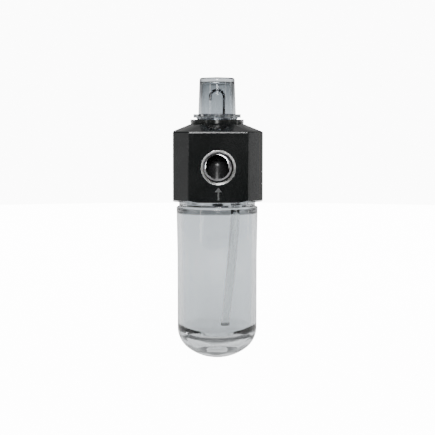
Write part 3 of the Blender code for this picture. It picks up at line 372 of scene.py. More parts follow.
def carve(piece, tools, sharp=32):                     # tools: (operation, object) in order
    for operation, tool in tools:
        cut = piece.modifiers.new(tool.name, "BOOLEAN")
        cut.operation = operation
        cut.solver = "EXACT"
        cut.object = tool
    bpy.context.view_layer.update()
    shaped = bpy.data.meshes.new_from_object(piece.evaluated_get(bpy.context.evaluated_depsgraph_get()))
    piece.modifiers.clear()
    old = piece.data
    piece.data = shaped
    shaped.name = piece.name
    bpy.data.meshes.remove(old)
    for operation, tool in tools:
        bpy.data.objects.remove(tool, do_unlink=True)
    bm = bmesh.new()
    bm.from_mesh(shaped)
    bmesh.ops.remove_doubles(bm, verts=bm.verts, dist=1e-6)
    bmesh.ops.dissolve_limit(bm, angle_limit=math.radians(0.2), verts=bm.verts, edges=bm.edges,
                             delimit={"MATERIAL", "SHARP"})
    bm.to_mesh(shaped)
    bm.free()
    shaped.shade_smooth()
    shaped.set_sharp_from_angle(angle=math.radians(sharp))
    return piece


def soften(piece, width, segments=2, angle=38):        # small edge rounds that keep flat faces flat
    edge = piece.modifiers.new("edgeRound", "BEVEL")
    edge.width = width * mm
    edge.segments = segments
    edge.limit_method = "ANGLE"
    edge.angle_limit = math.radians(angle)
    edge.harden_normals = True
    flat = piece.modifiers.new("flatFaces", "WEIGHTED_NORMAL")
    flat.keep_sharp = True
    return piece


def rodProfile(radius, low, high):
    return [(0, low), (radius, low), (radius, high), (0, high)]


def ringProfile(radius, wire, height, steps=12):       # a closed round section
    return arcPoints((radius, height), wire, 0, 360 - 360 / steps, steps - 1)


def pushed(bm, outline, by):                           # a prism from an outline in metres
    face = bm.faces.new([bm.verts.new(spot) for spot in outline])
    grown = bmesh.ops.extrude_face_region(bm, geom=[face])
    moved = [item for item in grown["geom"] if isinstance(item, bmesh.types.BMVert)]
    bmesh.ops.translate(bm, vec=by, verts=moved)


def block(bm, size, centre):
    made = bmesh.ops.create_cube(bm, size=1.0)["verts"]
    bmesh.ops.scale(bm, vec=[value * mm for value in size], verts=made)
    bmesh.ops.translate(bm, vec=[value * mm for value in centre], verts=made)


def shave(bm, point, normal):                          # cut with a plane and cap the cut
    result = bmesh.ops.bisect_plane(bm, geom=bm.verts[:] + bm.edges[:] + bm.faces[:], dist=1e-7,
                                    plane_co=point, plane_no=normal, clear_outer=True)
    cut = [item for item in result["geom_cut"] if isinstance(item, bmesh.types.BMEdge)]
    if cut:
        bmesh.ops.contextual_create(bm, geom=cut)


# axes that several pieces share: distance from the bowl's axis, and the clip's groove
axes = {"riser": 8.3, "drain": -3.1, "charge": -9.9, "screw": 6.505, "clipLow": 18.43,
        "clipHigh": 19.58}
screwPlaces = [(side * axes["screw"], side * axes["screw"]) for side in (1, -1)]


# head block
head = {"halfFlats": 20.0, "cornerCut": 6.8, "below": 15.6, "above": 15.7, "blankTop": 20.2,
        "flatSlope": 0.41, "cornerSlope": 0.33, "edgeRound": 0.5, "sharpEdge": 12, "roundBelow": 19.5,
        "collar": 12.1, "waist": 11.95, "collarFoot": 14.0, "collarTop": 21.0, "collarLip": 0.3,
        "ridges": 3, "ridgePitch": 0.56, "ridgeRound": 0.4, "socket": 17.0, "ceiling": -8.6,
        "chamber": 6.4, "chamberTop": 6.8, "chamberRound": 0.8, "needleHole": 1.2, "wellFloor": 9.5,
        "well": 5.5, "recessFloor": 12.5, "recess": 9.0, "clipGroove": 9.7, "portMouth": 7.65,
        "portBore": 6.8, "portEnd": 9.0, "softEdge": 0.12}

# drilled holes: radius, low, high, sides and place
drills = [(0.6, -9.1, 13.0, 20, (axes["riser"], 0)), (0.55, 6.3, 10.0, 20, (axes["drain"], 0)),
          (0.8, -9.1, -4.5, 20, (0, axes["charge"]))]
drills += [(1.3, -9.1, -4.1, 24, place) for place in screwPlaces]

arrow = {"half": 2.8, "stroke": 0.4, "tip": 1.7, "tipLength": 2.04, "height": -11.5, "proud": 0.3,
         "depth": 0.9}


def headShell():
    bm = bmesh.new()
    flats, top, below = head["halfFlats"], head["blankTop"], head["below"]
    block(bm, (2 * flats, 2 * flats, top + below), (0, 0, (top - below) / 2))
    corner = (2 * flats - head["cornerCut"]) * math.sqrt(0.5)
    for quarter in range(4):
        across = Matrix.Rotation(math.radians(90 * quarter), 3, "Z")
        diagonal = Matrix.Rotation(math.radians(90 * quarter + 45), 3, "Z")
        shave(bm, diagonal @ Vector((corner, 0, 0)) * mm, diagonal @ Vector((1, 0, 0)))
        shave(bm, across @ Vector((flats, 0, head["above"])) * mm,
              across @ Vector((head["flatSlope"], 0, 1)))
        shave(bm, diagonal @ Vector((corner, 0, head["above"])) * mm,
              diagonal @ Vector((head["cornerSlope"], 0, 1)))
    outline = [edge for edge in bm.edges if edge.calc_face_angle() > math.radians(head["sharpEdge"])
               and max(abs(vert.co.z) for vert in edge.verts) < head["roundBelow"] * mm]
    bmesh.ops.bevel(bm, geom=outline, offset=head["edgeRound"] * mm, segments=4, profile=0.5,
                    affect="EDGES", material=-1, clamp_overlap=True)
    return meshFrom(bm, "headBlock", enamel)


def collarTool():
    low = head["collarTop"] - head["ridges"] * head["ridgePitch"]
    bulge = head["ridgeRound"]
    profile = [(0, head["collarFoot"]), (head["waist"], head["collarFoot"]), (head["waist"], low)]
    for ridge in range(head["ridges"]):
        middle = low + (ridge + 0.5) * head["ridgePitch"]
        profile += arcPoints((head["collar"] - bulge, middle), bulge, -42, 42, 6)
    profile += [(head["collar"] - head["collarLip"], head["collarTop"]), (0, head["collarTop"])]
    return turned("collarTool", profile, None, 128)


def arrowTool(face, up):
    half, stroke, tip = arrow["half"], arrow["stroke"], arrow["tip"]
    neck = half - arrow["tipLength"]
    outline = [(-stroke, -half), (stroke, -half), (stroke, neck), (tip, neck), (0, half), (-tip, neck),
               (-stroke, neck)]
    near = face * (head["halfFlats"] + arrow["proud"])
    bm = bmesh.new()
    pushed(bm, [(x * mm, near * mm, (z * up + arrow["height"]) * mm) for x, z in outline],
           (0, -face * arrow["depth"] * mm, 0))
    return meshFrom(bm, "arrowTool")


def boreTools():                                       # everything that is cut out of the head
    wall, chamber, recess = head["socket"], head["chamber"], head["recess"]
    low, high = axes["clipLow"], axes["clipHigh"]
    socket = [(0, -17), (wall + 0.9, -17), (wall + 0.5, -15.6), (wall, -15.1), (wall, head["ceiling"]),
              (chamber, head["ceiling"]), (chamber, head["chamberTop"] - head["chamberRound"]),
              (chamber - head["chamberRound"], head["chamberTop"]), (0, head["chamberTop"])]
    well = [(0, 6.3), (head["needleHole"], 6.3), (head["needleHole"], head["wellFloor"]),
            (head["well"], head["wellFloor"]), (head["well"], head["recessFloor"]),
            (recess, head["recessFloor"]), (recess, low), (head["clipGroove"], low),
            (head["clipGroove"], high), (recess, high), (recess, 20.5), (recess + 1.0, 21.5), (0, 21.5)]
    mouth, bore, end = head["portMouth"], head["portBore"], head["portEnd"]
    half = [(mouth + 0.5, 20.5), (mouth, 20.0), (bore, 19.0), (bore - 0.3, end), (5.5, end)]
    line = [(0, 20.5)] + half + [(radius, -along) for radius, along in reversed(half)] + [(0, -20.5)]
    relief = [(20.0, -16.3), (21.5, -15.6), (28.0, -12.675), (28.0, -18), (20.0, -18)]
    bm = bmesh.new()
    for radius, start, stop, sides, place in drills:
        turnProfile(bm, rodProfile(radius, start, stop), sides, at(*place))
    return [turned("reliefTool", relief, None, 128), turned("socketTool", socket, None, 128),
            turned("recessTool", well, None, 128),
            turned("lineTool", line, None, 128, Matrix.Rotation(math.radians(-90), 4, "X")),
            meshFrom(bm, "drillTool")]


casting = headShell()
carve(casting, [("UNION", collarTool()), ("UNION", arrowTool(-1, 1)), ("UNION", arrowTool(1, -1))]
      + [("DIFFERENCE", tool) for tool in boreTools()])
settle(soften(casting, head["softEdge"]), "head", "black_paint", "body")
print("head block:", len(casting.data.polygons), "faces")


# lining of a port: helical thread and end ring darkened as painted shade, and bright countersink
port = {"mouth": 7.5, "crest": 6.35, "root": 6.72, "pitch": 1.34, "end": 9.15, "steps": 72, "turns": 7,
        "first": 9.0, "last": 19.0, "flare": 0.0032, "sharp": 50, "ringHole": 5.5, "ringEdge": 6.6,
        "coneFoot": 19.2, "coneTop": 19.9, "lip": 20.04, "throat": 6.75, "throatFoot": 18.7}


def portThread(name, face):
    bm = bmesh.new()
    half, first = port["pitch"] / 2, port["first"]
    lead = [(port["crest"], first - half), (port["root"], first), (port["crest"], first + half)]
    verts = [bm.verts.new((radius * mm, 0, height * mm)) for radius, height in lead]
    edges = [bm.edges.new(pair) for pair in zip(verts, verts[1:])]
    bmesh.ops.spin(bm, geom=verts + edges, cent=(0, 0, 0), axis=(0, 0, 1),
                   angle=port["turns"] * 2 * math.pi, steps=port["turns"] * port["steps"],
                   dvec=(0, 0, port["pitch"] * mm / port["steps"]), use_merge=False)
    bmesh.ops.remove_doubles(bm, verts=bm.verts, dist=2e-6)
    for vert in bm.verts:                              # the thread widens towards the mouth
        grow = 1 + (vert.co.z / mm - first) * port["flare"]
        vert.co.x *= grow
        vert.co.y *= grow
    for level, keep in ((port["last"], 1), (port["end"], -1)):
        bmesh.ops.bisect_plane(bm, geom=bm.verts[:] + bm.edges[:] + bm.faces[:], dist=1e-8,
                               plane_co=(0, 0, level * mm), plane_no=(0, 0, keep), clear_outer=True)
    hole, edge = port["ringHole"], port["ringEdge"]
    turnProfile(bm, [(hole, 9.02), (hole + 0.06, 9.16), (edge, 9.16), (edge, 9.02)], 128)
    bmesh.ops.transform(bm, matrix=Matrix.Rotation(math.radians(-90 * face), 4, "X"), verts=bm.verts)
    return meshFrom(bm, name, shadedThreadMetal, port["sharp"])


def portChamfer(name, face):
    mouth, throat = port["mouth"], port["throat"]
    cone = rounded([(7.2, port["coneFoot"]), (mouth + 0.16, port["coneTop"]),
                    (mouth + 0.12, port["lip"], 0.04), (mouth, port["lip"], 0.05),
                    (throat, port["coneFoot"] + 0.05, 0.15), (throat - 0.2, port["throatFoot"] + 0.05),
                    (throat, port["throatFoot"]), (7.2, port["coneFoot"])], 3)[:-1]
    return turned(name, cone, barePort, 128, Matrix.Rotation(math.radians(-90 * face), 4, "X"),
                  port["sharp"])


for name, face in (("Front", -1), ("Rear", 1)):
    settle(portThread("portThread" + name, face), "head", "steel")
    settle(portChamfer("portChamfer" + name, face), "head", "steel")
print("ports lined")


# bowl: one thick clear wall from the threaded mouth to the round bottom
bowl = {"mouth": -10.7, "mouthInside": 14.8, "throat": 14.4, "bore": 15.75, "boreTop": 15.95,
        "threadCrest": 16.6, "threadRoot": 16.15, "threads": ((-11.8, -13.3), (-13.8, -15.6)),
        "threadWidth": 0.4,
        "neckTop": -15.9, "neck": 17.3, "shoulder": -18.1, "wallTop": 18.45, "wall": 18.05,
        "taperEnd": -40.1, "knuckle": 12.0, "crown": 22.0, "bottom": -87.3, "floor": -79.1,
        "disc": 3.2, "discStep": 0.35}


def bowlProfile():
    mouth, floor, throat = bowl["mouth"], bowl["floor"], bowl["throat"]
    crest, root, width = bowl["threadCrest"], bowl["threadRoot"], bowl["threadWidth"]
    reach = bowl["wall"] - bowl["knuckle"]
    gap = math.sqrt((bowl["crown"] - bowl["knuckle"]) ** 2 - reach ** 2)
    low = bowl["bottom"] + bowl["crown"]
    meet = -math.degrees(math.atan2(gap, reach))
    inner = [(0, floor), (bowl["disc"], floor), (bowl["disc"] + 0.3, floor + bowl["discStep"], 0.3),
             (6.6, floor + 0.3, 5.0), (13.4, -76.2, 4.0), (bowl["bore"], -72.4, 4.0),
             (bowl["bore"], bowl["taperEnd"], 30.0), (bowl["boreTop"], -21.1, 3.0),
             (throat, -17.0, 2.2), (throat, mouth - 0.4, 0.4), (bowl["mouthInside"], mouth, 0.3)]
    outer = [(bowl["mouthInside"], mouth), (16.1, mouth, 0.3), (root, -11.3, 0.2)]
    for top, end in bowl["threads"]:                   # one ring, and the root down to its end
        outer += [(crest, top, 0.12), (crest, top - width, 0.12), (root, top - 1.1, 0.15),
                  (root, end, 0.15)]
    outer += [(16.5, bowl["neckTop"], 0.1), (bowl["neck"], bowl["neckTop"], 0.15),
              (bowl["neck"], bowl["shoulder"], 0.35), (bowl["wallTop"], bowl["shoulder"], 0.8),
              (bowl["wall"], bowl["taperEnd"], 40.0), (bowl["wall"], low - gap)]
    shell = rounded(inner, 6)[:-1] + rounded(outer, 6)[:-1]
    shell += arcPoints((reach, low - gap), bowl["knuckle"], 0, meet, 22)
    shell += arcPoints((0, low), bowl["crown"], meet, -90, 18)[1:-1]
    return shell + [(0, bowl["bottom"])]


cup = turned("bowlCup", bowlProfile(), clearBowl, 160, sharp=60)
settle(cup, "bowl_cup", "clear_plastic", "bowl")
print("bowl:", len(cup.data.polygons), "faces")


# sight dome with a serrated grip flange
dome = {"spigot": 8.7, "bore": 6.6, "foot": 8.5, "tip": 7.95, "wall": 1.4, "top": 40.1, "crown": 0.35,
        "ceiling": 37.8, "spigotEnd": 14.2, "sealGroove": 7.45, "sealLow": 15.55, "sealHigh": 17.05,
        "clipGroove": 8.05, "footTop": 23.1, "boreTop": 22.4, "flangeFoot": 9.5, "flangeLow": 21.8,
        "flangeHigh": 23.4, "flangeBore": 7.8, "teeth": 18, "outer": 10.7, "depth": 0.7,
        "toothRound": 0.16}


def domeFlange():
    bm = bmesh.new()
    steps = dome["teeth"] * 6
    outline = []
    for step in range(steps):                          # half of each tooth's steps stand out
        angle = 2 * math.pi * step / steps
        radius = dome["outer"] - (0 if step % 6 < 3 else dome["depth"])
        outline.append((radius * mm * math.cos(angle), radius * mm * math.sin(angle),
                        dome["flangeLow"] * mm))
    pushed(bm, outline, (0, 0, (dome["flangeHigh"] - dome["flangeLow"]) * mm))
    bmesh.ops.bevel(bm, geom=bm.edges[:], offset=dome["toothRound"] * mm, segments=2, profile=0.5,
                    affect="EDGES", material=-1, clamp_overlap=True)
    return meshFrom(bm, "domeFlange")


def domeProfile():
    spigot, bore, foot = dome["spigot"], dome["bore"], dome["foot"]
    seal, clip = dome["sealGroove"], dome["clipGroove"]
    inside = [(0, dome["ceiling"] + 0.2), (dome["tip"] - dome["wall"], dome["ceiling"], 1.2),
              (foot - dome["wall"], dome["flangeHigh"], 0.6), (bore, dome["boreTop"], 0.5),
              (bore, dome["spigotEnd"], 0.2), (spigot, dome["spigotEnd"], 0.25),
              (spigot, dome["sealLow"], 0.1), (seal, dome["sealLow"], 0.2),
              (seal, dome["sealHigh"], 0.2), (spigot, dome["sealHigh"], 0.1),
              (spigot, axes["clipLow"], 0.1), (clip, axes["clipLow"], 0.15),
              (clip, axes["clipHigh"], 0.15), (spigot, axes["clipHigh"], 0.1), (spigot, 20.5, 0.2),
              (dome["flangeFoot"], 21.85, 0.2), (dome["flangeFoot"], 22.6, 0.1),
              (foot, dome["footTop"], 0.1)]
    outside = [(foot, dome["footTop"]), (dome["tip"], dome["top"] - dome["crown"], 1.1),
               (0, dome["top"])]
    return rounded(inside, 5)[:-1] + rounded(outside, 10)


shell = turned("domeShell", domeProfile(), smokedDome, 128)
hole = turned("flangeBore", rodProfile(dome["flangeBore"], 21.0, 24.5), None, 128)
carve(shell, [("UNION", carve(domeFlange(), [("DIFFERENCE", hole)]))], 40)
settle(shell, "dome", "smoked_plastic", "sight_dome")
print("dome:", len(shell.data.polygons), "faces")


# open tubes, pulled out of a circle of edges
def rim(bm, radius, segments, place):
    start = bmesh.ops.create_circle(bm, cap_ends=False, segments=segments, radius=radius * mm,
                                    matrix=place)
    return list({edge for vert in start["verts"] for edge in vert.link_edges})


def pull(bm, edges, by):                               # lengthen an open tube, and return its new rim
    grown = bmesh.ops.extrude_edge_only(bm, edges=edges)
    verts = [item for item in grown["geom"] if isinstance(item, bmesh.types.BMVert)]
    bmesh.ops.translate(bm, vec=[value * mm for value in by], verts=verts)
    fresh = set(verts)
    return [item for item in grown["geom"]
            if isinstance(item, bmesh.types.BMEdge) and set(item.verts) <= fresh]


def walled(piece, wall):                               # give an open skin its thickness inwards
    skin = piece.modifiers.new("wall", "SOLIDIFY")
    skin.thickness = wall * mm
    skin.offset = -1
    return piece


# drip tube: up, over a half circle and down to its tip
drip = {"offset": 3.1, "wire": 0.62, "wall": 0.3, "foot": 17.6, "bend": 31.25, "tip": 29.6,
        "segments": 24, "bendSteps": 28}


def dripHook():
    bm = bmesh.new()
    edges = rim(bm, drip["wire"], drip["segments"], at(drip["offset"], 0, drip["foot"]))
    edges = pull(bm, edges, (0, 0, drip["bend"] - drip["foot"]))
    bend = bmesh.ops.spin(bm, geom=edges, cent=(0, 0, drip["bend"] * mm), axis=(0, 1, 0),
                          angle=-math.pi, steps=drip["bendSteps"], use_merge=False)
    edges = [item for item in bend["geom_last"] if isinstance(item, bmesh.types.BMEdge)]
    pull(bm, edges, (0, 0, drip["tip"] - drip["bend"]))
    return walled(meshFrom(bm, "dripHook", darkSteel), drip["wall"])


settle(dripHook(), "dome", "steel", "drip_tube")


# siphon tube: straight on its barb, then leaning towards the middle of the bowl
siphon = {"radius": 2.1, "wall": 0.6, "top": -16.8, "straight": -21.5, "foot": -72.7, "lean": 4.7,
          "held": 0.25, "steps": 36, "segments": 48}


def siphonHose():
    bm = bmesh.new()
    edges = rim(bm, siphon["radius"], siphon["segments"], at(axes["riser"], 0, siphon["top"]))
    edges = pull(bm, edges, (0, 0, siphon["straight"] - siphon["top"]))
    before = 0.0
    for step in range(1, siphon["steps"] + 1):
        share = step / siphon["steps"]
        lean = siphon["lean"] * (share - siphon["held"] * math.sin(math.pi * share) / math.pi)
        drop = (siphon["foot"] - siphon["straight"]) / siphon["steps"]
        edges = pull(bm, edges, (before - lean, 0, drop))
        before = lean
    return walled(meshFrom(bm, "siphonHose", nylonTube, 60), siphon["wall"])


settle(siphonHose(), "head", "clear_tube", "siphon_tube")
print("tubes made")


# flow core: domed post, plug and plate in one, with a boss for each check valve
core = {"post": 5.2, "plug": 6.1, "plate": 12.5, "plateTop": -8.9, "plateLow": -11.5, "bore": 3.2,
        "boreTop": -1.2, "boreCrown": 2.0, "groove": 5.1, "grooveLow": -8.28, "grooveHigh": -7.22,
        "plugTop": -6.6, "siphonBoss": 3.5, "siphonLow": -15.0, "chargeBoss": 2.5,
        "chargeLow": -17.1, "bossTop": -11.0, "holeTop": -8.4, "screwHole": 1.3}


def flowCore():
    low, top, plug, groove = core["plateLow"], core["plateTop"], core["plug"], core["groove"]
    crown = arcPoints((0, core["boreTop"]), core["bore"], 90, 0, 6)[1:]
    body = [(core["bore"], low, 0.3), (core["plate"], low, 0.5), (core["plate"], top, 0.4),
            (plug, top, 0.15), (plug, core["grooveLow"], 0.1), (groove, core["grooveLow"], 0.1),
            (groove, core["grooveHigh"], 0.1), (plug, core["grooveHigh"], 0.1),
            (plug, core["plugTop"], 0.25), (core["post"], core["plugTop"], 0.2), (core["post"], 0)]
    profile = rounded([(0, core["boreCrown"])] + crown + body, 4)
    profile += arcPoints((0, 0), core["post"], 0, 90, 20)[1:-1] + [(0, core["post"])]
    made = turned("coreBlock", profile, resin, 96)
    bosses = bmesh.new()
    for radius, foot, edge, place in ((core["siphonBoss"], core["siphonLow"], 0.4, (axes["riser"], 0)),
                                      (core["chargeBoss"], core["chargeLow"], 0.3, (0, axes["charge"]))):
        boss = rounded([(0, foot), (radius, foot, edge), (radius, core["bossTop"]),
                        (0, core["bossTop"])], 4)
        turnProfile(bosses, boss, 48, at(*place))
    holes = bmesh.new()
    above = core["holeTop"]
    turnProfile(holes, [(0, -15.5), (2.3, -15.5), (2.3, -11.9), (0.6, -11.9), (0.6, above), (0, above)],
                40, at(axes["riser"]))
    turnProfile(holes, [(0, -18), (1.5, -18), (1.5, -10.4), (0.8, -9.7), (0.8, above), (0, above)],
                40, at(0, axes["charge"]))
    for place in screwPlaces:
        turnProfile(holes, rodProfile(core["screwHole"], -12, above), 32, at(*place))
    return carve(made, [("UNION", meshFrom(bosses, "bossTool")),
                        ("DIFFERENCE", meshFrom(holes, "holeTool"))])


settle(flowCore(), "head", "black_resin", "flow_core")
print("flow core made")


# feed block, with the well for the needle and the drain
feed = {"radius": 6.3, "low": 12.8, "top": 22.4, "stem": 5.2, "stemLow": 10.1, "groove": 4.15,
        "grooveLow": 10.7, "grooveHigh": 11.7, "well": 1.8, "wellTop": 18.5, "wellLow": 16.0,
        "neck": 1.15, "mouth": 2.1, "mouthTop": 11.3, "leg": 3.1, "legHole": 0.85, "legFoot": 17.0,
        "drain": 0.55, "funnel": (21.3, 22.9, 2.15)}


def feedPlug():
    stem, low, neck, mouth = feed["stem"], feed["stemLow"], feed["neck"], feed["mouth"]
    profile = rounded([(0, feed["wellTop"]), (feed["well"], feed["wellTop"]),
                       (feed["well"], feed["wellLow"]), (neck, feed["wellLow"]),
                       (neck, feed["mouthTop"]), (mouth, feed["mouthTop"]), (mouth, low),
                       (stem, low, 0.3), (stem, feed["grooveLow"], 0.1),
                       (feed["groove"], feed["grooveLow"], 0.15),
                       (feed["groove"], feed["grooveHigh"], 0.15), (stem, feed["grooveHigh"], 0.1),
                       (stem, feed["low"], 0.15), (feed["radius"], feed["low"], 0.3),
                       (feed["radius"], feed["top"], 0.4), (0, feed["top"])], 4)
    made = turned("feedPlug", profile, plated, 96)
    foot, above, wide = feed["funnel"]
    drain = feed["drain"]
    holes = bmesh.new()
    turnProfile(holes, [(0, 9.6), (drain, 9.6), (drain, foot), (wide, above), (0, above)], 40,
                at(axes["drain"]))
    turnProfile(holes, rodProfile(feed["legHole"], feed["legFoot"], above), 32, at(feed["leg"]))
    slot = bmesh.new()
    block(slot, (1.4, 3.0, 3.2), (0, 0, 18.9))
    cross = bmesh.new()                                # outlet to the drip tube, inlet from the riser
    turnProfile(cross, rodProfile(0.35, 1.5, 3.1), 16,
                at(z=17.3) @ Matrix.Rotation(math.radians(90), 4, "Y"))
    turnProfile(cross, rodProfile(0.5, 0, 6.8), 16,
                at(z=14.3) @ Matrix.Rotation(math.radians(-90), 4, "X"))
    return carve(made, [("DIFFERENCE", meshFrom(holes, "holeTool")),
                        ("DIFFERENCE", meshFrom(slot, "slotTool")),
                        ("DIFFERENCE", meshFrom(cross, "crossTool"))])


# metering needle with the tongue that the dome turns
needle = {"foot": 7.6, "thread": 0.9, "threadTop": 12.6, "stem": 0.65, "stemTop": 15.8, "head": 1.5,
          "headLow": 16.65, "headTop": 17.45, "tongue": (0.8, 2.4, 2.3), "tongueAt": 18.3}


def feedNeedle():
    profile = rounded([(0, needle["foot"]), (needle["thread"], needle["foot"], 0.25),
                       (needle["thread"], needle["threadTop"], 0.2),
                       (needle["stem"], needle["threadTop"]), (needle["stem"], needle["stemTop"]),
                       (needle["head"], needle["headLow"], 0.1),
                       (needle["head"], needle["headTop"], 0.15), (0, needle["headTop"])], 4)
    made = turned("feedNeedle", profile, steel, 48)
    tongue = bmesh.new()
    block(tongue, needle["tongue"], (0, 0, needle["tongueAt"]))
    return carve(made, [("UNION", meshFrom(tongue, "tongueTool"))])


settle(feedPlug(), "dome", "steel", "feed_block")
settle(feedNeedle(), "needle", "steel", "feed_needle")
print("feed block and needle made")


# O-rings: node, ring radius, section radius, height, body and offset of the ring's axis
seals = {"bowlRing": ("bowl_seal", 15.6, 0.75, -9.65, "bowl_ring", 0.0),
         "domeRing": ("dome_seal", 8.2, 0.5, 16.3, "dome", 0.0),
         "feedRing": ("feed_seal", 4.85, 0.4, 11.2, "dome", 0.0),
         "needleRing": ("needle_seal", 1.5, 0.35, 10.7, "dome", 0.0),
         "coreRing": ("core_seal", 5.75, 0.4, -7.75, "head", 0.0),
         "riserRing": ("riser_seal", 1.3, 0.25, -9.2, "head", axes["riser"])}
sealFit = {"squeeze": 0.99, "bigRing": 5, "bigSteps": 96, "smallSteps": 48}

for name, (node, radius, wire, height, body, offset) in seals.items():
    steps = sealFit["bigSteps" if radius > sealFit["bigRing"] else "smallSteps"]
    section = ringProfile(radius, wire * sealFit["squeeze"], height)
    settle(turned(name, section, rubber, steps, at(offset)), body, "rubber", node)
print("seals made")


# siphon fitting: seat above, flange, hose barb below
barb = {"bore": 0.5, "seat": 1.4, "seatLow": -14.8, "boreTop": -15.7, "foot": -20.9, "tip": 0.9,
        "ridge": 1.25, "ridges": (-19.7, -18.5), "stem": 1.15, "flange": 3.2, "flangeLow": -16.5,
        "flangeHigh": -15.3, "spigot": 2.0, "top": -12.2, "seatTop": -13.0}


def siphonBarb():
    stem, ridge, flange = barb["stem"], barb["ridge"], barb["flange"]
    spigot, top = barb["spigot"], barb["top"]
    lower, upper = barb["ridges"]
    profile = [(barb["seat"], barb["seatTop"]), (barb["seat"], barb["seatLow"]),
               (barb["bore"], barb["boreTop"]), (barb["bore"], barb["foot"]),
               (barb["tip"], barb["foot"]), (ridge, lower), (stem, lower + 0.1),
               (stem, upper - 0.1), (ridge, upper), (stem, upper + 0.1), (stem, barb["flangeLow"]),
               (flange, barb["flangeLow"], 0.15), (flange, barb["flangeHigh"], 0.15),
               (spigot, barb["flangeHigh"], 0.1), (spigot, top, 0.2), (barb["seat"], top, 0.1),
               (barb["seat"], barb["seatTop"])]
    return turned("siphonBarb", rounded(profile, 4)[:-1], plated, 64, at(axes["riser"]))


# slotted cap that holds the charge valve's spring
cap = {"hole": 0.6, "spigot": 1.2, "spigotTop": -16.42, "flange": 2.5, "flangeTop": -17.72,
       "foot": -18.52, "slot": (6, 0.6, 0.7)}


def chargeCap():
    hole, spigot, flange, foot = cap["hole"], cap["spigot"], cap["flange"], cap["foot"]
    profile = [(hole, -17.0), (hole, cap["spigotTop"], 0.15), (spigot, cap["spigotTop"], 0.15),
               (spigot, cap["flangeTop"]), (flange, cap["flangeTop"], 0.12), (flange, foot, 0.2),
               (hole, foot, 0.15), (hole, -17.0)]
    made = turned("chargeCap", rounded(profile, 4)[:-1], plated, 64, at(0, axes["charge"]))
    slot = bmesh.new()
    block(slot, cap["slot"], (0, axes["charge"], foot))
    return carve(made, [("DIFFERENCE", meshFrom(slot, "capSlot"))])


# slotted screws that hold the flow core
screw = {"foot": -13.3, "crown": 1.5, "head": 2.1, "headLow": -12.7, "headTop": -11.8, "thread": 1.0,
         "top": -4.4, "slot": (0.6, 6.0, 1.5)}


def coreScrew(name, place):
    profile = rounded([(0, screw["foot"]), (screw["crown"], screw["foot"], 0.4),
                       (screw["head"], screw["headLow"], 0.3), (screw["head"], screw["headTop"], 0.1),
                       (screw["thread"], screw["headTop"]), (screw["thread"], screw["top"], 0.2),
                       (0, screw["top"])], 4)
    made = turned(name, profile, steel, 48, at(*place))
    slot = bmesh.new()
    block(slot, screw["slot"], (*place, screw["foot"]))
    return carve(made, [("DIFFERENCE", meshFrom(slot, "screwSlot"))])


# check balls: radius, place, body and node
balls = {"siphonBall": (1.1, (axes["riser"], 0, -14.22), "siphon_check", "siphon_ball"),
         "chargeBall": (1.2, (0, axes["charge"], -11.02), "charge_check", "charge_valve_ball")}
ballFit = 0.995


def polishedBall(name, radius, place):
    bm = bmesh.new()
    bmesh.ops.create_uvsphere(bm, u_segments=40, v_segments=24, radius=radius * mm * ballFit,
                              matrix=at(*place))
    return meshFrom(bm, name, steel, 180)


settle(siphonBarb(), "head", "steel", "siphon_fitting")
settle(chargeCap(), "head", "steel", "charge_valve_cap")
for number, place in enumerate(screwPlaces, 1):
    settle(coreScrew(f"coreScrew{number}", place), "head", "steel", f"core_screw_{number}")
for name, (radius, place, body, node) in balls.items():
    settle(polishedBall(name, radius, place), body, "steel", node)

for node in ("dome_clip", "charge_valve_spring"):      # these keep their own shape
    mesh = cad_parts[node].data
    mesh.materials.clear()
    mesh.materials.append(steel.material)
print("valves, screws and balls made")


# studio floor: pale paper that the camera sees as bright as the air around it
studio = {"floor": -94.0, "floorSize": 850, "floorBack": 300, "floorTint": 0.9, "roughness": 0.9,
          "floorGlow": (0.6, 1.25), "glowReach": 0.4, "paper": 14.0, "fibre": 300, "fibreDepth": 0.02}


def makeFloor():
    bm = bmesh.new()
    bmesh.ops.create_circle(bm, cap_ends=True, segments=96, radius=studio["floorSize"] * mm,
                            matrix=at(0, studio["floorBack"], studio["floor"]))
    paper = Finish("floorPaper", **{"Base Color": (studio["floorTint"],) * 3,
                                    "Roughness": studio["roughness"],
                                    "Emission Strength": studio["paper"]})
    seen = paper.node("ShaderNodeLightPath", output="Is Camera Ray")
    y = paper.split(paper.place())[1]
    glow = paper.spread(y, *studio["floorGlow"], 0.0, studio["glowReach"])    # brighter at the back
    shine = seen * (1 - 1 / studio["paper"]) + glow * (1 / studio["paper"])
    fibre = paper.noise(studio["fibre"], 4.0, 0.6)
    paper.feed(emission=shine, roughness=paper.spread(fibre, 0.85, 0.95),
               normal=paper.bump(fibre, studio["fibreDepth"] * mm, 0.3))
    meshFrom(bm, "studioFloor", paper)


# air: the light that comes from around, front to back and low to high
air = {"levels": ((0.0, 0.02), (0.05, 0.035), (0.16, 0.4), (0.42, 0.7), (0.5, 0.8), (0.62, 0.3),
                  (0.74, 0.8), (0.88, 1.6)),
       "halved": 2, "horizon": (-0.01, 0.12), "overhead": 0.22}


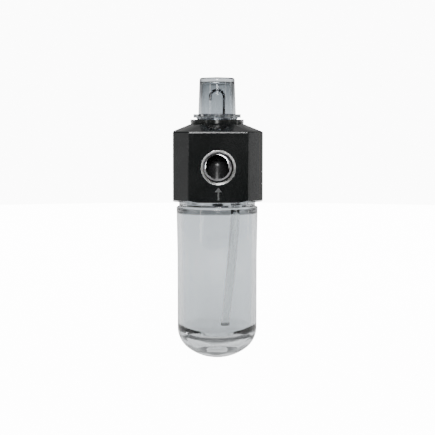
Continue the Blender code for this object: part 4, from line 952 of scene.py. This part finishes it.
def makeSurroundings():
    world = bpy.data.worlds.new("studioAir")
    world.use_nodes = True
    bpy.context.scene.world = world
    tree = world.node_tree
    tree.nodes.clear()
    kinds = {"spot": "TexCoord", "parts": "SeparateXYZ", "across": "MapRange", "depth": "ValToRGB",
             "height": "MapRange", "both": "Math", "seen": "LightPath", "pick": "Mix",
             "light": "Background", "out": "OutputWorld"}
    nodes = {name: tree.nodes.new("ShaderNode" + kind) for name, kind in kinds.items()}
    halved = air["halved"]                             # a ramp holds no colour over 1
    fillRamp(nodes["depth"].color_ramp,
             [(place, (level / halved,) * 3) for place, level in air["levels"]])
    for name, values in (("across", (-1, 1, 0, 1)),
                         ("height", (*air["horizon"], halved, halved * air["overhead"]))):
        for socket, value in zip(nodes[name].inputs[1:5], values):
            socket.default_value = value
    nodes["both"].operation = "MULTIPLY"
    nodes["pick"].inputs[3].default_value = studio["paper"]
    for start, output, end, socket in (("spot", "Generated", "parts", 0), ("parts", 1, "across", 0),
                                       ("across", 0, "depth", 0), ("parts", 2, "height", 0),
                                       ("depth", 0, "both", 0), ("height", 0, "both", 1),
                                       ("seen", "Is Camera Ray", "pick", 0), ("both", 0, "pick", 2),
                                       ("pick", 0, "light", "Strength"), ("light", 0, "out", 0)):
        tree.links.new(nodes[start].outputs[output], nodes[end].inputs[socket])


# area lights: place, target, width and height in millimetres, then watts
lamps = {"topBox": ((-60, -60, 620), (0, -10, 0), 240, 240, 1.4),
         "portSpot": ((-25, -900, 300), (0, -10, 0), 200, 200, 7.0),
         "leftStrip": ((-620, -560, 20), (0, 0, -20), 60, 420, 0.45),
         "rightStrip": ((660, -500, 20), (0, 0, -20), 60, 420, 0.22),
         "sideFill": ((700, 80, 40), (0, 0, -10), 60, 500, 0.3)}


def aimed(name, data, place, target):                  # a lamp or camera that looks at its target
    made = bpy.data.objects.new(name, data)
    bpy.context.collection.objects.link(made)
    way = Vector(target) - Vector(place)
    made.matrix_world = Matrix.LocRotScale(Vector(place) * mm, way.to_track_quat("-Z", "Y"), None)
    return made


def makeLamp(name, place, target, width, height, watts):
    light = bpy.data.lights.new(name, "AREA")
    light.shape = "RECTANGLE"
    light.size = width * mm
    light.size_y = height * mm
    light.energy = watts
    aimed(name, light, place, target)


view = {"azimuth": -1.6, "elevation": 4.5, "distance": 600.0, "aim": (0.18, 0.0, -23.4),
        "lens": 109.3, "sensor": 36, "near": 0.01, "far": 50}


def makeCamera():
    lens = bpy.data.cameras.new("studioCamera")
    lens.sensor_width = view["sensor"]
    lens.lens = view["lens"]
    lens.clip_start = view["near"]
    lens.clip_end = view["far"]
    turn, lift = math.radians(view["azimuth"]), math.radians(view["elevation"])
    away = Vector((math.sin(turn) * math.cos(lift), -math.cos(turn) * math.cos(lift), math.sin(lift)))
    place = Vector(view["aim"]) + away * view["distance"]
    bpy.context.scene.camera = aimed("studioCamera", lens, place, view["aim"])


makeFloor()
makeSurroundings()
for name, facts in lamps.items():
    makeLamp(name, *facts)
makeCamera()
print("studio set")
